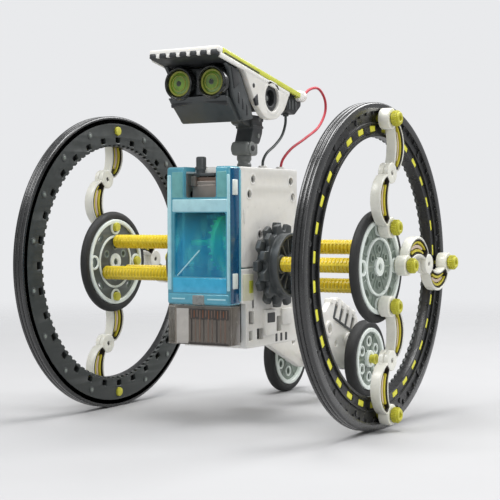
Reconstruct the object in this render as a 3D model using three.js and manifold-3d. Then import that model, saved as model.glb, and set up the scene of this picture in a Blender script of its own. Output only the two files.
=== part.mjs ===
// Two-wheeled solar robot: a slim gearbox body between two large spoked hoop wheels, a tilting head
// that carries the solar panel, and a tail with two small rolling wheels.
// Millimetres, +Z up, front towards -Y; "right" is +X, as seen from in front.
// Pieces are laid out about the midpoint of the wheel axle (along X), then moved onto the floor.
import * as THREE from 'three';
import { mergeVertices } from 'three/addons/utils/BufferGeometryUtils.js';
import Module from 'manifold-3d';

const wasm = await Module();
wasm.setup();
const { Manifold, Mesh: ManifoldMesh } = wasm;

// ---- driving dimensions; ranges are [low, high], so [inboard, outboard] for right-hand parts ----
const WHEEL_R = 50;                   // hoop outer radius, so the axle height
const AXLE_ORIGIN = [0, -13, WHEEL_R];  // axle midpoint in the finished frame
const RIM_X = [47.8, 51.8];
const HUB_X = [48.5, 51.8];
const ARM_X = [52.1, 55.6];           // spoke arms, outboard of hoop and hub
const PIN_HUB = 12;                   // radii at which the three joints of a spoke lie
const PIN_MID = 28.5;
const PIN_RIM = 45;
const PIN_HOLE_R = 1.78;
const SPOKES = { top: 90, bottom: 270, rear: 0 };  // degrees about X; the front one is left out
const FLANGE_X = [18, 21];            // round flange outboard of the sprocket teeth
const AXLE_R = 2;
const BODY = { halfX: 11.7, front: -16, back: 20, bottom: -26, top: 31, wall: 2 };
const COVER = { front: -23, back: BODY.front - 0.2, bottom: -12, wall: 1.5 };
const SPUR_MODULE = 0.9;
const IDLER_TEETH = 11;
const OUTPUT_TEETH = 20;
const IDLER_Y = -12;
const SPUR_CENTRES = (IDLER_TEETH + OUTPUT_TEETH) * SPUR_MODULE / 2;
const IDLER_Z = Math.sqrt(SPUR_CENTRES ** 2 - IDLER_Y ** 2);
const TAIL_WHEEL_R = 14;
const TAIL_WHEEL_X = [14, 19];
const TAIL_AXLE = [62, TAIL_WHEEL_R - WHEEL_R];  // y, z
const HEAD_HALF_X = 12.6;
const TILT_AXIS = [1.8, 53.5];        // y, z of the barrel the head tilts on
const ROOF_FRONT_Y = -30.5;
const ROOF_FRONT_Z = 67;
const ROOF_SLOPE = -0.203;            // rise in z per mm of y
const LEAD_X = 8;                     // leads enter the frame top here
const LEAD_Y = [3.5, 15];             // black, red

// ---- materials: MeshStandardMaterial settings ----
const MATERIALS = {
  charcoal: { color: 0x3a3e3d, roughness: 0.5 },
  rubber: { color: 0x17181a, roughness: 0.8 },
  yellow: { color: 0xe3c92c, roughness: 0.45 },
  lime: { color: 0xc9cf3a, roughness: 0.5 },
  ivory: { color: 0xe9e7dc, roughness: 0.45 },
  pale: { color: 0xb4bfb0, roughness: 0.45 },
  white: { color: 0xe6e4de, roughness: 0.45 },
  whiteGear: { color: 0xe6e4de, roughness: 0.4 },
  blue: { color: 0x1b86bd, roughness: 0.25 },
  grey: { color: 0x9c9a94, roughness: 0.35 },
  dark: { color: 0x3d4143, roughness: 0.5 },
  greenGear: { color: 0x3fae52, roughness: 0.4 },
  greenLens: { color: 0x3fae52, roughness: 0.2 },
  steel: { color: 0x9a948a, roughness: 0.35, metalness: 0.8 },
  solarCell: { color: 0x1a2340, roughness: 0.3 },
  redLead: { color: 0xb32638, roughness: 0.5 },
  blackLead: { color: 0x202224, roughness: 0.5 },
};

// ---- solids and meshes ----
// Geometry to solid: points welded, collapsed triangles dropped, faces turned outwards.
const solid = (geometry) => {
  const bare = new THREE.BufferGeometry();
  bare.setAttribute('position', geometry.getAttribute('position'));
  if (geometry.index) bare.setIndex(geometry.index);
  const welded = mergeVertices(bare, 1e-4);
  const points = welded.getAttribute('position').array;
  const pointAt = (index) => new THREE.Vector3().fromArray(points, index * 3);
  let triangles = [];
  let volume = 0;
  for (let i = 0; i < welded.index.count; i += 3) {
    const corners = Array.from(welded.index.array.slice(i, i + 3));
    if (new Set(corners).size < 3) continue;
    triangles.push(corners);
    const [first, second, third] = corners.map(pointAt);
    volume += first.dot(second.cross(third));
  }
  if (volume < 0) triangles = triangles.map(([first, second, third]) => [second, first, third]);
  return new Manifold(new ManifoldMesh({
    numProp: 3,
    vertProperties: new Float32Array(points),
    triVerts: new Uint32Array(triangles.flat()),
  }));
};

const toGeometry = (piece) => {
  const mesh = piece.getMesh();
  const geometry = new THREE.BufferGeometry();
  geometry.setAttribute('position', new THREE.BufferAttribute(mesh.vertProperties.slice(), 3));
  geometry.setIndex(Array.from(mesh.triVerts));
  geometry.computeVertexNormals();
  return geometry;
};

const model = new THREE.Group();
model.name = 'solar_robot';
const put = (name, piece, material) => {
  const geometry = toGeometry(piece.translate(AXLE_ORIGIN));
  const mesh = new THREE.Mesh(geometry, new THREE.MeshStandardMaterial(MATERIALS[material]));
  mesh.name = name;
  model.add(mesh);
};

const join = (...pieces) => pieces.reduce((whole, piece) => whole.add(piece));
const cut = (piece, ...tools) => tools.reduce((rest, tool) => rest.subtract(tool), piece);
const turned = (piece, degrees) => piece.rotate([degrees, 0, 0]);

// ---- ranges ----
const centred = (half) => [-half, half];
const grow = ([low, high], by = 1) => [low - by, high + by];  // by 1 mm for cuts that pass through
const length = ([low, high]) => high - low;
const middle = ([low, high]) => (low + high) / 2;

// ---- primitives ----
const box = (xs, ys, zs) => solid(new THREE.BoxGeometry(length(xs), length(ys), length(zs))
  .translate(middle(xs), middle(ys), middle(zs)));
const cylinder = (radius, range, segments) =>
  new THREE.CylinderGeometry(radius, radius, length(range), segments);
const cylX = (radius, xs, [y, z], segments) => solid(cylinder(radius, xs, segments)
  .rotateZ(-Math.PI / 2).translate(middle(xs), y, z));
const cylY = (radius, ys, [x, z], segments) => solid(cylinder(radius, ys, segments)
  .translate(x, middle(ys), z));
const cylZ = (radius, zs, [x, y], segments) => solid(cylinder(radius, zs, segments)
  .rotateX(Math.PI / 2).translate(x, y, middle(zs)));

const wound = (outline, clockwise) => {
  const points = outline.map(([x, y]) => new THREE.Vector2(x, y));
  return THREE.ShapeUtils.isClockWise(points) === clockwise ? points : points.reverse();
};
// Outlines run anticlockwise, holes clockwise.
const shape = (outline, holes = []) => {
  const result = new THREE.Shape(wound(outline, false));
  for (const hole of holes) result.holes.push(new THREE.Path(wound(hole, true)));
  return result;
};
const extrude = (outline, range, holes) =>
  new THREE.ExtrudeGeometry(shape(outline, holes), { depth: length(range), bevelEnabled: false });
// Turns x, y, z into y, z, x.
const TO_YZX = new THREE.Matrix4().set(0, 0, 1, 0, 1, 0, 0, 0, 0, 1, 0, 0, 0, 0, 0, 1);
const plateX = (outline, xs, holes) =>      // outline in y, z
  solid(extrude(outline, xs, holes).applyMatrix4(TO_YZX).translate(xs[0], 0, 0));
const plateZ = (outline, zs) =>             // outline in x, y
  solid(extrude(outline, zs).translate(0, 0, zs[0]));

const polar = (radius, angle) => [radius * Math.cos(angle), radius * Math.sin(angle)];
const circle = ([x, y], radius, segments) => Array.from({ length: segments }, (_, i) => {
  const [dx, dy] = polar(radius, i * 2 * Math.PI / segments);
  return [x + dx, y + dy];
});

// Closed profile of [radius, x] revolved about the X axis.
const latheX = (profile, segments, turn = 0) => {
  const points = [...profile, profile[0]].map(([radius, x]) => new THREE.Vector2(radius, x));
  return solid(new THREE.LatheGeometry(points, segments).rotateY(turn).rotateZ(-Math.PI / 2));
};
const ringProfile = (inner, outer, [x0, x1]) => [[inner, x0], [outer, x0], [outer, x1], [inner, x1]];
// Corner radius that brings the flats of a polygon to the given radius; a turn of
// half a segment then rests a flat on the floor.
const cornerRadius = (radius, segments) => radius / Math.cos(Math.PI / segments);

// Gear outline; rootFill and tipFill are tooth widths as fractions of the pitch.
const gear = ({ teeth, root, tip, rootFill, tipFill, phase = 0 }) => {
  const step = 2 * Math.PI / teeth;
  const corners = [[root, -rootFill], [tip, -tipFill], [tip, tipFill], [root, rootFill]];
  return Array.from({ length: teeth }, (_, i) =>
    corners.map(([radius, fill]) => polar(radius, phase + i * step + fill * step / 2))).flat();
};

// ---- spoke arm, lying along +Y: a crescent with a crescent window and an eye at each end ----
const ARM_EYE_R = 3.2;
const LAP_CLEARANCE = 0.15;
const ARM_MID_X = middle(ARM_X);
// The eye at pinAt is bored; the one at lapAt is cut back over lapX. Bulge is 1 to +Z, -1 to -Z.
const spokeArm = ({ pinAt, lapAt, bulge, lapX }) => {
  const start = Math.min(pinAt, lapAt);
  const end = Math.max(pinAt, lapAt);
  const chord = end - start;
  // Points on an arc of the given sagitta, between two fractions of its sweep.
  const arc = (sagitta, from, to, steps) => {
    const radius = (chord * chord / 4 + sagitta * sagitta) / (2 * sagitta);
    const halfSweep = Math.asin(chord / 2 / radius);
    return Array.from({ length: steps + 1 }, (_, i) => {
      const angle = -halfSweep + 2 * halfSweep * (from + (to - from) * i / steps);
      const height = radius * Math.cos(angle) - (radius - sagitta);
      return [start + chord / 2 + radius * Math.sin(angle), height * bulge];
    });
  };
  const outline = [...arc(9, 0.02, 0.98, 6), ...arc(2.6, 0.98, 0.02, 6)];
  const opening = [...arc(7.4, 0.2, 0.8, 4), ...arc(4.4, 0.8, 0.2, 3)];
  const eyes = [start, end].map((y) => cylX(ARM_EYE_R, ARM_X, [y, 0], 10));
  return cut(join(plateX(outline, ARM_X, [opening]), ...eyes),
    cylX(PIN_HOLE_R, grow(ARM_X), [pinAt, 0], 8),
    cylX(ARM_EYE_R + 0.5, lapX, [lapAt, 0], 10));
};
const innerArm = spokeArm({
  pinAt: PIN_HUB, lapAt: PIN_MID, bulge: 1, lapX: [ARM_MID_X - LAP_CLEARANCE, ARM_X[1] + 1],
});
const outerArm = spokeArm({
  pinAt: PIN_RIM, lapAt: PIN_MID, bulge: -1, lapX: [ARM_X[0] - 1, ARM_MID_X + LAP_CLEARANCE],
});

// Pin with a wider head outboard of the arm.
const headedPin = (startX, y) => {
  const shankR = 1.5;
  const headR = 2.4;
  const [headX0, headX1] = [ARM_X[1] + 0.3, 58.3];
  return latheX([
    [0, startX], [shankR, startX], [shankR, headX0], [headR, headX0], [headR, headX1], [0, headX1],
  ], 9).translate([0, y, 0]);
};
const hubPin = headedPin(HUB_X[0] - 0.6, PIN_HUB);
const rimPin = headedPin(RIM_X[0] - 0.5, PIN_RIM);

// ---- large wheels, built for the right-hand side ----
const boreForPins = (disc, xs, y, angles) =>
  cut(disc, ...angles.map((degrees) => turned(cylX(PIN_HOLE_R, grow(xs), [y, 0], 8), degrees)));

// Hoop, stepped back in its outboard face.
const wheelRim = () => {
  const innerR = 39.6;
  const stepR = 44.4;
  const segments = 48;
  const outerR = cornerRadius(WHEEL_R, segments);
  const [inboard, outboard] = RIM_X;
  const floor = outboard - 1.6;
  const hoop = latheX([
    [innerR, inboard], [outerR, inboard], [outerR, outboard],
    [stepR, outboard], [stepR, floor], [innerR, floor],
  ], segments, Math.PI / segments);
  return boreForPins(hoop, RIM_X, PIN_RIM, Object.values(SPOKES));
};

// Coloured ring in the stepped face of the hoop.
const rimInsert = () => latheX(ringProfile(40.9, 42.9, [RIM_X[1] - 1.4, RIM_X[1] - 0.4]), 32);

const HUB_R = 14.6;
const hubDisc = () => {
  const recessR = 9.2;
  const [inboard, outboard] = HUB_X;
  const disc = latheX([
    [0, inboard], [HUB_R, inboard], [HUB_R, outboard],
    [recessR, outboard], [recessR, outboard - 1], [0, outboard - 1],
  ], 24);
  return boreForPins(disc, HUB_X, PIN_HUB, [...Object.values(SPOKES), 180]);
};
const hubTyre = () => latheX(ringProfile(HUB_R + 0.2, 17.3, grow(HUB_X, -0.2)), 24);

const ROD_CIRCLE_R = 7;
const rod = () => cylX(2.35, [21.3, 48.3], [ROD_CIRCLE_R, 0], 12);

const sprocket = () => {
  const teethX = [14.2, FLANGE_X[0]];
  const outline = gear({ teeth: 12, root: 11.6, tip: 13.6, rootFill: 0.62, tipFill: 0.4 });
  return cut(join(plateX(outline, teethX), cylX(10.2, FLANGE_X, [0, 0], 24)),
    cylX(AXLE_R + 0.3, grow([teethX[0], FLANGE_X[1]]), [0, 0], 16));
};

const SIDES = [
  { tag: 'right', mirrored: false, rodAngles: [56, 176, 296] },
  { tag: 'left', mirrored: true, rodAngles: [90, 210, 330] },
];
// Puts a right-hand piece on the given side.
const putSide = ({ tag, mirrored }, name, piece, material) =>
  put(`${name}_${tag}`, mirrored ? piece.mirror([1, 0, 0]) : piece, material);

for (const side of SIDES) {
  putSide(side, 'rim', wheelRim(), 'charcoal');
  putSide(side, 'rim_insert', rimInsert(), 'lime');
  putSide(side, 'hub_disc', hubDisc(), 'pale');
  putSide(side, 'hub_tyre', hubTyre(), 'rubber');
  for (const [place, degrees] of Object.entries(SPOKES)) {
    putSide(side, `arm_inner_${place}`, turned(innerArm, degrees), 'ivory');
    putSide(side, `arm_outer_${place}`, turned(outerArm, degrees), 'ivory');
    putSide(side, `pin_hub_${place}`, turned(hubPin, degrees), 'lime');
    putSide(side, `pin_rim_${place}`, turned(rimPin, degrees), 'lime');
  }
  side.rodAngles.forEach((degrees, i) => {
    putSide(side, `rod_${i + 1}`, turned(rod(), degrees), 'yellow');
  });
  putSide(side, 'sprocket', sprocket(), 'dark');
}

// ---- gear train ----
const spurOutline = (teeth, tipFill, phase) => {
  const pitchR = teeth * SPUR_MODULE / 2;
  return gear({ teeth, root: pitchR - 1.05, tip: pitchR + 0.75, rootFill: 0.6, tipFill, phase });
};

const outputAxle = () => join(
  cylX(AXLE_R, centred(FLANGE_X[1] - 0.2), [0, 0], 16),
  plateX(spurOutline(OUTPUT_TEETH, 0.26, 0), [5.6, 8.8]));
put('output_axle', outputAxle(), 'whiteGear');

// Idler tooth angle that sets its teeth into the gaps of the output gear.
const idlerPhase = () => {
  const towardsOutput = Math.atan2(-IDLER_Z, -IDLER_Y);
  const outputStep = 2 * Math.PI / OUTPUT_TEETH;
  const idlerStep = 2 * Math.PI / IDLER_TEETH;
  const back = towardsOutput + Math.PI;
  const fraction = (((back % outputStep) + outputStep) % outputStep) / outputStep;
  return towardsOutput + idlerStep * (0.5 + fraction);
};

// Idler: face gear with its teeth towards -X, and a small spur, on one shaft.
const crownGear = () => {
  const teeth = 24;
  const tooth = box([2.1, 3.5], [7.6, 9.05], centred(0.27));
  let result = join(
    cylX(9.1, [3.3, 5], [0, 0], 28),
    plateX(spurOutline(IDLER_TEETH, 0.24, idlerPhase()), [5, 9.2]),
    cylX(1, [-9.4, 9.6], [0, 0], 12));
  for (let i = 0; i < teeth; i++) result = result.add(turned(tooth, 90 + (i + 0.5) * 360 / teeth));
  return result.translate([0, IDLER_Y, IDLER_Z]);
};
put('crown_gear', crownGear(), 'greenGear');

const motorPinion = () => {
  const teeth = 8;
  const pitchR = teeth * 0.7 / 2;
  const bottom = IDLER_Z + 7.7;
  const top = bottom + 1.3;
  const outline = gear({
    teeth, root: pitchR - 0.8, tip: pitchR + 0.45, rootFill: 0.5, tipFill: 0.2,
  });
  return join(plateZ(outline, [bottom, top]), cylZ(0.9, [top, 17.6], [0, 0], 10))
    .translate([0, IDLER_Y, 0]);
};
put('motor_pinion', motorPinion(), 'whiteGear');

// Motor can, flattened front and back, with a small round stub on top.
const motor = () => {
  const canR = 7.6;
  const flatHalfY = 5.8;
  const top = 28.4;
  const outline = Array.from({ length: 24 }, (_, i) => {
    const [x, y] = polar(canR, i * Math.PI / 12 + Math.PI / 24);
    return [x, Math.max(-flatHalfY, Math.min(flatHalfY, y))];
  });
  return join(plateZ(outline, [18, top]), cylZ(1.6, [top, 34.4], [-3.3, -3.8], 12))
    .translate([0, IDLER_Y, 0]);
};
put('motor', motor(), 'steel');

// ---- body ----
const BODY_X = centred(BODY.halfX);

// Open-fronted box with shaft bores, small round holes and slots low in its side walls.
const mainFrame = () => {
  const { halfX, front, back, bottom, top, wall } = BODY;
  const sideHoles = [[-8.8, 27.2], [-11.1, 22.5], [15.6, 27], [17, 21.8], [-4.5, 9.7]];  // y, z
  const sideSlots = [                 // y range, z range
    [[-13, -9.5], [-18.5, -14.5]],
    [[-13, -10.5], [-23.5, -20.5]],
    [[-6.5, -2.5], [-23.5, -20]],
  ];
  return cut(box(BODY_X, [front, back], [bottom, top]),
    box(centred(halfX - wall), [front - 1, back - wall - 0.5], [bottom + wall, top - wall]),
    box(centred(6), [front - 1, -8.6], [top - wall - 1, top + 1]),
    cylX(AXLE_R + 0.1, grow(BODY_X), [0, 0], 24),
    ...sideHoles.map((place) => cylX(1.25, grow(BODY_X), place, 8)),
    ...sideSlots.map(([ys, zs]) => box(grow(BODY_X), ys, zs)),
    ...LEAD_Y.map((y) => cylZ(1.2, [top - 3, top + 1], [LEAD_X, y], 8)));
};
put('main_frame', mainFrame(), 'white');

// Tray over the front opening, notched at the top, with a shallow recess in its front face.
const gearboxCover = () => {
  const { front, back, bottom, wall } = COVER;
  return cut(box(BODY_X, [front, back], [bottom, BODY.top]),
    box(grow(BODY_X, -wall), [front + wall, 0], [bottom + wall, BODY.top - wall]),
    box([-5.2, 6.8], [front - 1, 0], [21.2, BODY.top + 1]),
    box([-8.8, 10.3], [front - 1, front + 0.7], [-3.2, 16.6]));
};
put('gearbox_cover', gearboxCover(), 'blue');

// Block under the cover with two pockets in its front face.
const baseBlock = () => {
  const { front, back, bottom } = COVER;
  const pockets = [[-3.5, 1.5], [4, 8.5]].map((xs) => box(xs, [front - 1, front + 2], [-21, -14.5]));
  return cut(box(grow(BODY_X, -0.2), [front + 0.5, back], [-24.5, bottom - 0.3]), ...pockets);
};
put('base_block', baseBlock(), 'grey');

// ---- tail ----
const TAIL_OUTLINE = [                // y, z of a side plate
  [20.3, -7], [20.3, -24], [57, -40], [62, -40.2], [66.5, -36.5], [71, -26],
  [68, -20], [54, -13.5], [48, -14.5], [43, -18.5], [34, -11],
];
// Two side plates, two cross plates, and a fixed cross shaft with a thicker middle.
const tailBracket = () => {
  const holes = [[45.7, -24.3], [61, -29.6]].map((place) => circle(place, 1.6, 10));
  return join(
    plateX(TAIL_OUTLINE, [7.5, 10], holes),
    plateX(TAIL_OUTLINE, [-10, -7.5], holes),
    box(centred(10), [20.3, 22.8], [-24, -7]),
    box(centred(8), [36, 38.5], [-27, -21]),
    cylX(1.5, centred(21), TAIL_AXLE, 12),
    cylX(2.6, centred(13.6), TAIL_AXLE, 12));
};
put('tail_bracket', tailBracket(), 'white');

const tailDisc = () => {
  const boreR = 1.6;
  const outerR = 11.2;
  const recessR = 9.6;
  const [inboard, outboard] = TAIL_WHEEL_X;
  const disc = latheX([
    [boreR, inboard], [outerR, inboard], [outerR, outboard],
    [recessR, outboard], [recessR, outboard - 1], [boreR, outboard - 1],
  ], 20);
  const hole = cylX(1.3, grow(TAIL_WHEEL_X), [6.4, 0], 6);
  const holes = Array.from({ length: 6 }, (_, i) => turned(hole, i * 60 + 30));
  return cut(disc, ...holes).translate([0, ...TAIL_AXLE]);
};
const tailTyre = () => {
  const segments = 28;
  const outerR = cornerRadius(TAIL_WHEEL_R, segments);
  const profile = ringProfile(11.5, outerR, grow(TAIL_WHEEL_X, -0.3));
  return latheX(profile, segments, Math.PI / segments).translate([0, ...TAIL_AXLE]);
};
for (const side of SIDES) {
  putSide(side, 'tail_disc', tailDisc(), 'pale');
  putSide(side, 'tail_tyre', tailTyre(), 'rubber');
}

// ---- neck: swivel post, stepped blocks, and the cross barrel with a socket in each end ----
const BARREL_R = 4.2;
const neck = () => {
  const barrel = cut(cylX(BARREL_R, centred(HEAD_HALF_X - 0.3), TILT_AXIS, 20),
    cylX(2.6, [9, HEAD_HALF_X + 1], TILT_AXIS, 8),
    cylX(2.6, [-HEAD_HALF_X - 1, -9], TILT_AXIS, 8));
  return join(
    cylZ(2.4, [BODY.top + 0.25, 36.5], [0, 5], 16),
    box(centred(3.2), [1.5, 9], [36, 40]),
    box(centred(3.2), [4, 11.5], [39, 48.5]),
    box(centred(2.3), [-2, 6], [44, TILT_AXIS[1]]),
    barrel);
};
put('neck', neck(), 'dark');

// ---- head ----
const HEAD_X = centred(HEAD_HALF_X);
const roofZ = (y) => ROOF_FRONT_Z + (y - ROOF_FRONT_Y) * ROOF_SLOPE;
// Sloping plate between two depths below the roof line.
const roofPlate = ([y0, y1], [upper, lower]) => plateX([
  [y0, roofZ(y0) - lower], [y1, roofZ(y1) - lower], [y1, roofZ(y1) - upper], [y0, roofZ(y0) - upper],
], HEAD_X);

// Roof with two ears on the tilt barrel and five notches in its front edge.
const headShell = () => {
  const ear = [                       // y, z
    [-18, roofZ(-18) - 2.4], [-9, 51.2], [-3.5, 47], [0, 46.3],
    [5, 46.9], [10, 50], [13.5, roofZ(13.5) - 2.4],
  ];
  const notches = [-9, -4.5, 0, 4.5, 9].map((x) =>
    box([x - 1, x + 1], [ROOF_FRONT_Y - 1, ROOF_FRONT_Y + 1.6], [50, 70]));
  const shell = join(
    roofPlate([ROOF_FRONT_Y, 14], [1.9, 2.9]),
    plateX(ear, [10.3, HEAD_HALF_X]),
    plateX(ear, [-HEAD_HALF_X, -10.3]));
  return cut(shell, cylX(BARREL_R + 0.1, grow(HEAD_X), TILT_AXIS, 20), ...notches);
};
put('head_shell', headShell(), 'white');

const headFace = () => {
  const outline = [                   // y, z
    [-21, roofZ(-21) - 3.2], [-21, 52], [-14.2, 45], [-7.5, 46], [-7.5, 56],
    [-10, roofZ(-10) - 3.2],
  ];
  return cut(plateX(outline, centred(10)), box(centred(8.5), [-18.5, -5], [47.5, 59]));
};
put('head_face', headFace(), 'dark');

// Lens barrel facing -Y, with a dished front.
const eye = (x) => {
  const profile = [                   // radius, distance forward
    [0, 0], [5.2, 0], [5.2, 3.6], [4.4, 3.6], [3.9, 2.6], [0, 3.3],
  ].map(([radius, forward]) => new THREE.Vector2(radius, forward));
  return solid(new THREE.LatheGeometry(profile, 16).rotateX(Math.PI)).translate([x, -21.3, 56.8]);
};
put('eye_right', eye(6), 'greenLens');
put('eye_left', eye(-6), 'greenLens');

// Panel over the roof, with a block below its rear edge and a round stub to the rear.
const solarPanel = () => {
  const block = [                     // y, z
    [14.3, roofZ(14.3) - 1.5], [14.3, 50.6], [20, 49.2], [24.5, 52.5], [24.5, 55.3],
    [21, roofZ(21) - 0.3],
  ];
  return join(
    roofPlate([-27.5, 21], [0, 1.7]),
    plateX(block, [5.5, 10.8]),
    cylY(1.9, [20.6, 27.3], [9.8, 56], 10));
};
put('solar_panel', solarPanel(), 'solarCell');

// ---- two thin leads from the panel down into the frame ----
const [BLACK_Y, RED_Y] = LEAD_Y;
const RED_PATH = [                    // x, y, z
  [9.8, 27.6, 56.2], [10.4, 31.2, 58.8], [11.2, 36, 59.4], [11.6, 40, 56], [11.5, 40.6, 52],
  [11.2, 36.4, 46.5], [10.4, 28, 42], [9, 20, 37.8], [8.2, 15.8, 33.8], [LEAD_X, RED_Y, 30.6],
];
const BLACK_PATH = [                  // x, y, z
  [7.8, 19, 48.9], [7.8, 18.8, 46.5], [7.9, 16.4, 42.5], [8, 11.5, 39], [8, 5.6, 35.8],
  [LEAD_X, BLACK_Y, 33.2], [LEAD_X, BLACK_Y, 30.6],
];
const lead = (points) => {
  const extrudePath = new THREE.CatmullRomCurve3(points.map((place) => new THREE.Vector3(...place)));
  const section = shape(circle([0, 0], 0.45, 5));
  return solid(new THREE.ExtrudeGeometry(section, { steps: 22, bevelEnabled: false, extrudePath }));
};
put('wire_red', lead(RED_PATH), 'redLead');
put('wire_black', lead(BLACK_PATH), 'blackLead');

export default model;
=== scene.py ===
import math

import bmesh
import bpy
import numpy as np
from mathutils import Matrix, Vector


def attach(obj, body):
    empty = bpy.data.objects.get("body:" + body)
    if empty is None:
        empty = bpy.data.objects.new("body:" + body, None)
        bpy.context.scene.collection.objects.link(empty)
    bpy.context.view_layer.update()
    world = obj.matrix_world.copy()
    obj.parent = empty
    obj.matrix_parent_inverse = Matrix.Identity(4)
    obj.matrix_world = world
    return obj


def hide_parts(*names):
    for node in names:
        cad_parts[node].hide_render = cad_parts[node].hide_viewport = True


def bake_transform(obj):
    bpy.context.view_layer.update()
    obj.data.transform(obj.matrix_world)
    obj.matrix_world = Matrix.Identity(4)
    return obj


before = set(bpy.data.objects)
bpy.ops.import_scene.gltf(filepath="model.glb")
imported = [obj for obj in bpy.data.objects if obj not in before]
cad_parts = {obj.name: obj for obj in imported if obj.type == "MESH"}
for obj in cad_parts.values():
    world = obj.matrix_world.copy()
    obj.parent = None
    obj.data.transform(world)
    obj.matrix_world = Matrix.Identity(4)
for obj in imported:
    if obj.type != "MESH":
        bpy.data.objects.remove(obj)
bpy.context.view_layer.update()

AXLE = np.array([0.0, -13.0, 50.0])
MM = 0.001
SHARP_ANGLE = 32                        # degrees; creases above this stay sharp
SIDES = ((1, "right"), (-1, "left"))

# Wheels: distances from the axle
SLOT_COUNT = 32
SLOT_PITCH = 360 / SLOT_COUNT
HUB_PIN_R, ELBOW_R, RIM_PIN_R = 12, 28.5, 45
SPOKES = (("top", 90), ("bottom", 270), ("rear", 0))
ROD_CIRCLE_R = 7
ROD_ANGLES = {"right": (56, 176, 296), "left": (90, 210, 330)}

# Gears: the idler stands a mesh distance from the axle
GEAR_MODULE = 0.9
AXLE_TEETH, IDLER_TEETH = 20, 11
MOTOR_Y = -12.0
IDLER_Z = math.sqrt(((AXLE_TEETH + IDLER_TEETH) * GEAR_MODULE / 2) ** 2 - MOTOR_Y ** 2)
PINION_Z = IDLER_Z + 7.7

# Frame, tail and head
SCREWS = ((-8.8, 27.2), (-11.1, 22.5), (15.6, 27.0), (17.0, 21.8), (-4.5, 9.7))      # y, z
LEAD_HOLES = ((8, 15), (8, 3.5))                                                     # x, y
TAIL_AXLE = (0, 62, -36)
TAIL_EYES = ((45.7, -24.3), (61, -29.6))                                             # y, z
NECK_TOP = (0, 1.8, 53.5)
ROOF_SLOPE = 0.203                      # the roof drops this much per mm towards the back
ROOF_COS, ROOF_SIN = math.cos(math.atan(ROOF_SLOPE)), math.sin(math.atan(ROOF_SLOPE))
ROOF_Y, ROOF_Z, ROOF_HALF = -30.5, 67.0, 12.6
PANEL_START, PANEL_END = 3.0, 52.4      # along the roof
EYE_X = 6.0

radians = math.radians


# ------------------------------------------------------------------ flat outlines
def polar(r, degrees):
    return r * math.cos(radians(degrees)), r * math.sin(radians(degrees))


def circle(x, y, r, n):
    turns = [2 * math.pi * i / n for i in range(n)]
    return [(x + r * math.cos(a), y + r * math.sin(a)) for a in turns]


def disc(r, n):
    return circle(0, 0, r, n)


def holes_at(points, r, n):
    return [circle(x, y, r, n) for x, y in points]


def rectangle(x0, x1, y0, y1, r, n=4):
    corners = ((x1 - r, y0 + r, -90), (x1 - r, y1 - r, 0), (x0 + r, y1 - r, 90), (x0 + r, y0 + r, 180))
    points = []
    for x, y, start in corners:
        for i in range(n + 1):
            dx, dy = polar(r, start + 90 * i / n)
            points.append((x + dx, y + dy))
    return points


def slot_at(x, y, width, height, degrees, corner):
    """A rectangle centred on x, y and turned."""
    c, s = polar(1, degrees)
    flat = rectangle(-width / 2, width / 2, -height / 2, height / 2, corner, 2)
    return [(x + c * u - s * v, y + s * u + c * v) for u, v in flat]


def slots_on(radius, width, height, corner, angles):
    return [slot_at(*polar(radius, a), width, height, a, corner) for a in angles]


def fillet(points, r, n, closed=True):
    """Rounds each corner with n steps; the ends of an open line stay."""
    out, count = [], len(points)
    for i in range(count):
        p = np.array(points[i], float)
        if not closed and i in (0, count - 1):
            out.append(tuple(p))
            continue
        before = np.array(points[i - 1], float) - p
        after = np.array(points[(i + 1) % count], float) - p
        len_before, len_after = np.linalg.norm(before), np.linalg.norm(after)
        reach = min(r, len_before * 0.45, len_after * 0.45)
        if reach < 1e-4:
            out.append(tuple(p))
            continue
        a, b = p + before / len_before * reach, p + after / len_after * reach
        for j in range(n + 1):
            t = j / n
            out.append(tuple((1 - t) ** 2 * a + 2 * t * (1 - t) * p + t * t * b))
    return out


def signed_area(p):
    return sum(p[i - 1][0] * p[i][1] - p[i][0] * p[i - 1][1] for i in range(len(p))) / 2


def toothed(r, depth, n):
    """A ring with n small square teeth."""
    corners = ((0.02, 0), (0.48, 0), (0.52, depth), (0.98, depth))
    return [polar(r + lift, 360 * (i + part) / n) for i in range(n) for part, lift in corners]


def gear_outline(teeth, root, tip, per_tooth, turned=0.0):
    """Soft rounded teeth between the root and tip radii."""
    points = []
    for i in range(teeth * per_tooth):
        a = 2 * math.pi * i / (teeth * per_tooth)
        w = 0.5 + 0.5 * math.cos(a * teeth)
        w = min(1, max(0, (w - 0.18) / 0.55))
        r = root + (tip - root) * w * w * (3 - 2 * w)
        points.append((r * math.cos(a + turned), r * math.sin(a + turned)))
    return points


# ------------------------------------------------------------------ solids: (vertices, faces)
def plate(outer, holes, thick, bevel, steps=2):
    """A flat plate with rounded edges, drawn in u, v and centred on w = 0."""
    curve = bpy.data.curves.new("plate", "CURVE")
    curve.dimensions, curve.fill_mode = "2D", "BOTH"
    curve.extrude = max(thick / 2 - bevel, 0.0)
    curve.bevel_depth, curve.bevel_resolution, curve.offset = bevel, steps, -bevel
    for k, points in enumerate([outer, *holes]):
        if (signed_area(points) > 0) != (k == 0):
            points = points[::-1]
        spline = curve.splines.new("POLY")
        spline.points.add(len(points) - 1)
        spline.points.foreach_set("co", [c for u, v in points for c in (u, v, 0.0, 1.0)])
        spline.use_cyclic_u = True
    ob = bpy.data.objects.new("plate", curve)
    bpy.context.scene.collection.objects.link(ob)
    graph = bpy.context.evaluated_depsgraph_get()
    mesh = bpy.data.meshes.new_from_object(ob.evaluated_get(graph))
    verts = np.array([v.co for v in mesh.vertices], float).reshape(-1, 3)
    faces = [list(p.vertices) for p in mesh.polygons]
    bpy.data.objects.remove(ob)
    bpy.data.curves.remove(curve)
    bpy.data.meshes.remove(mesh)
    return verts, faces


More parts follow.
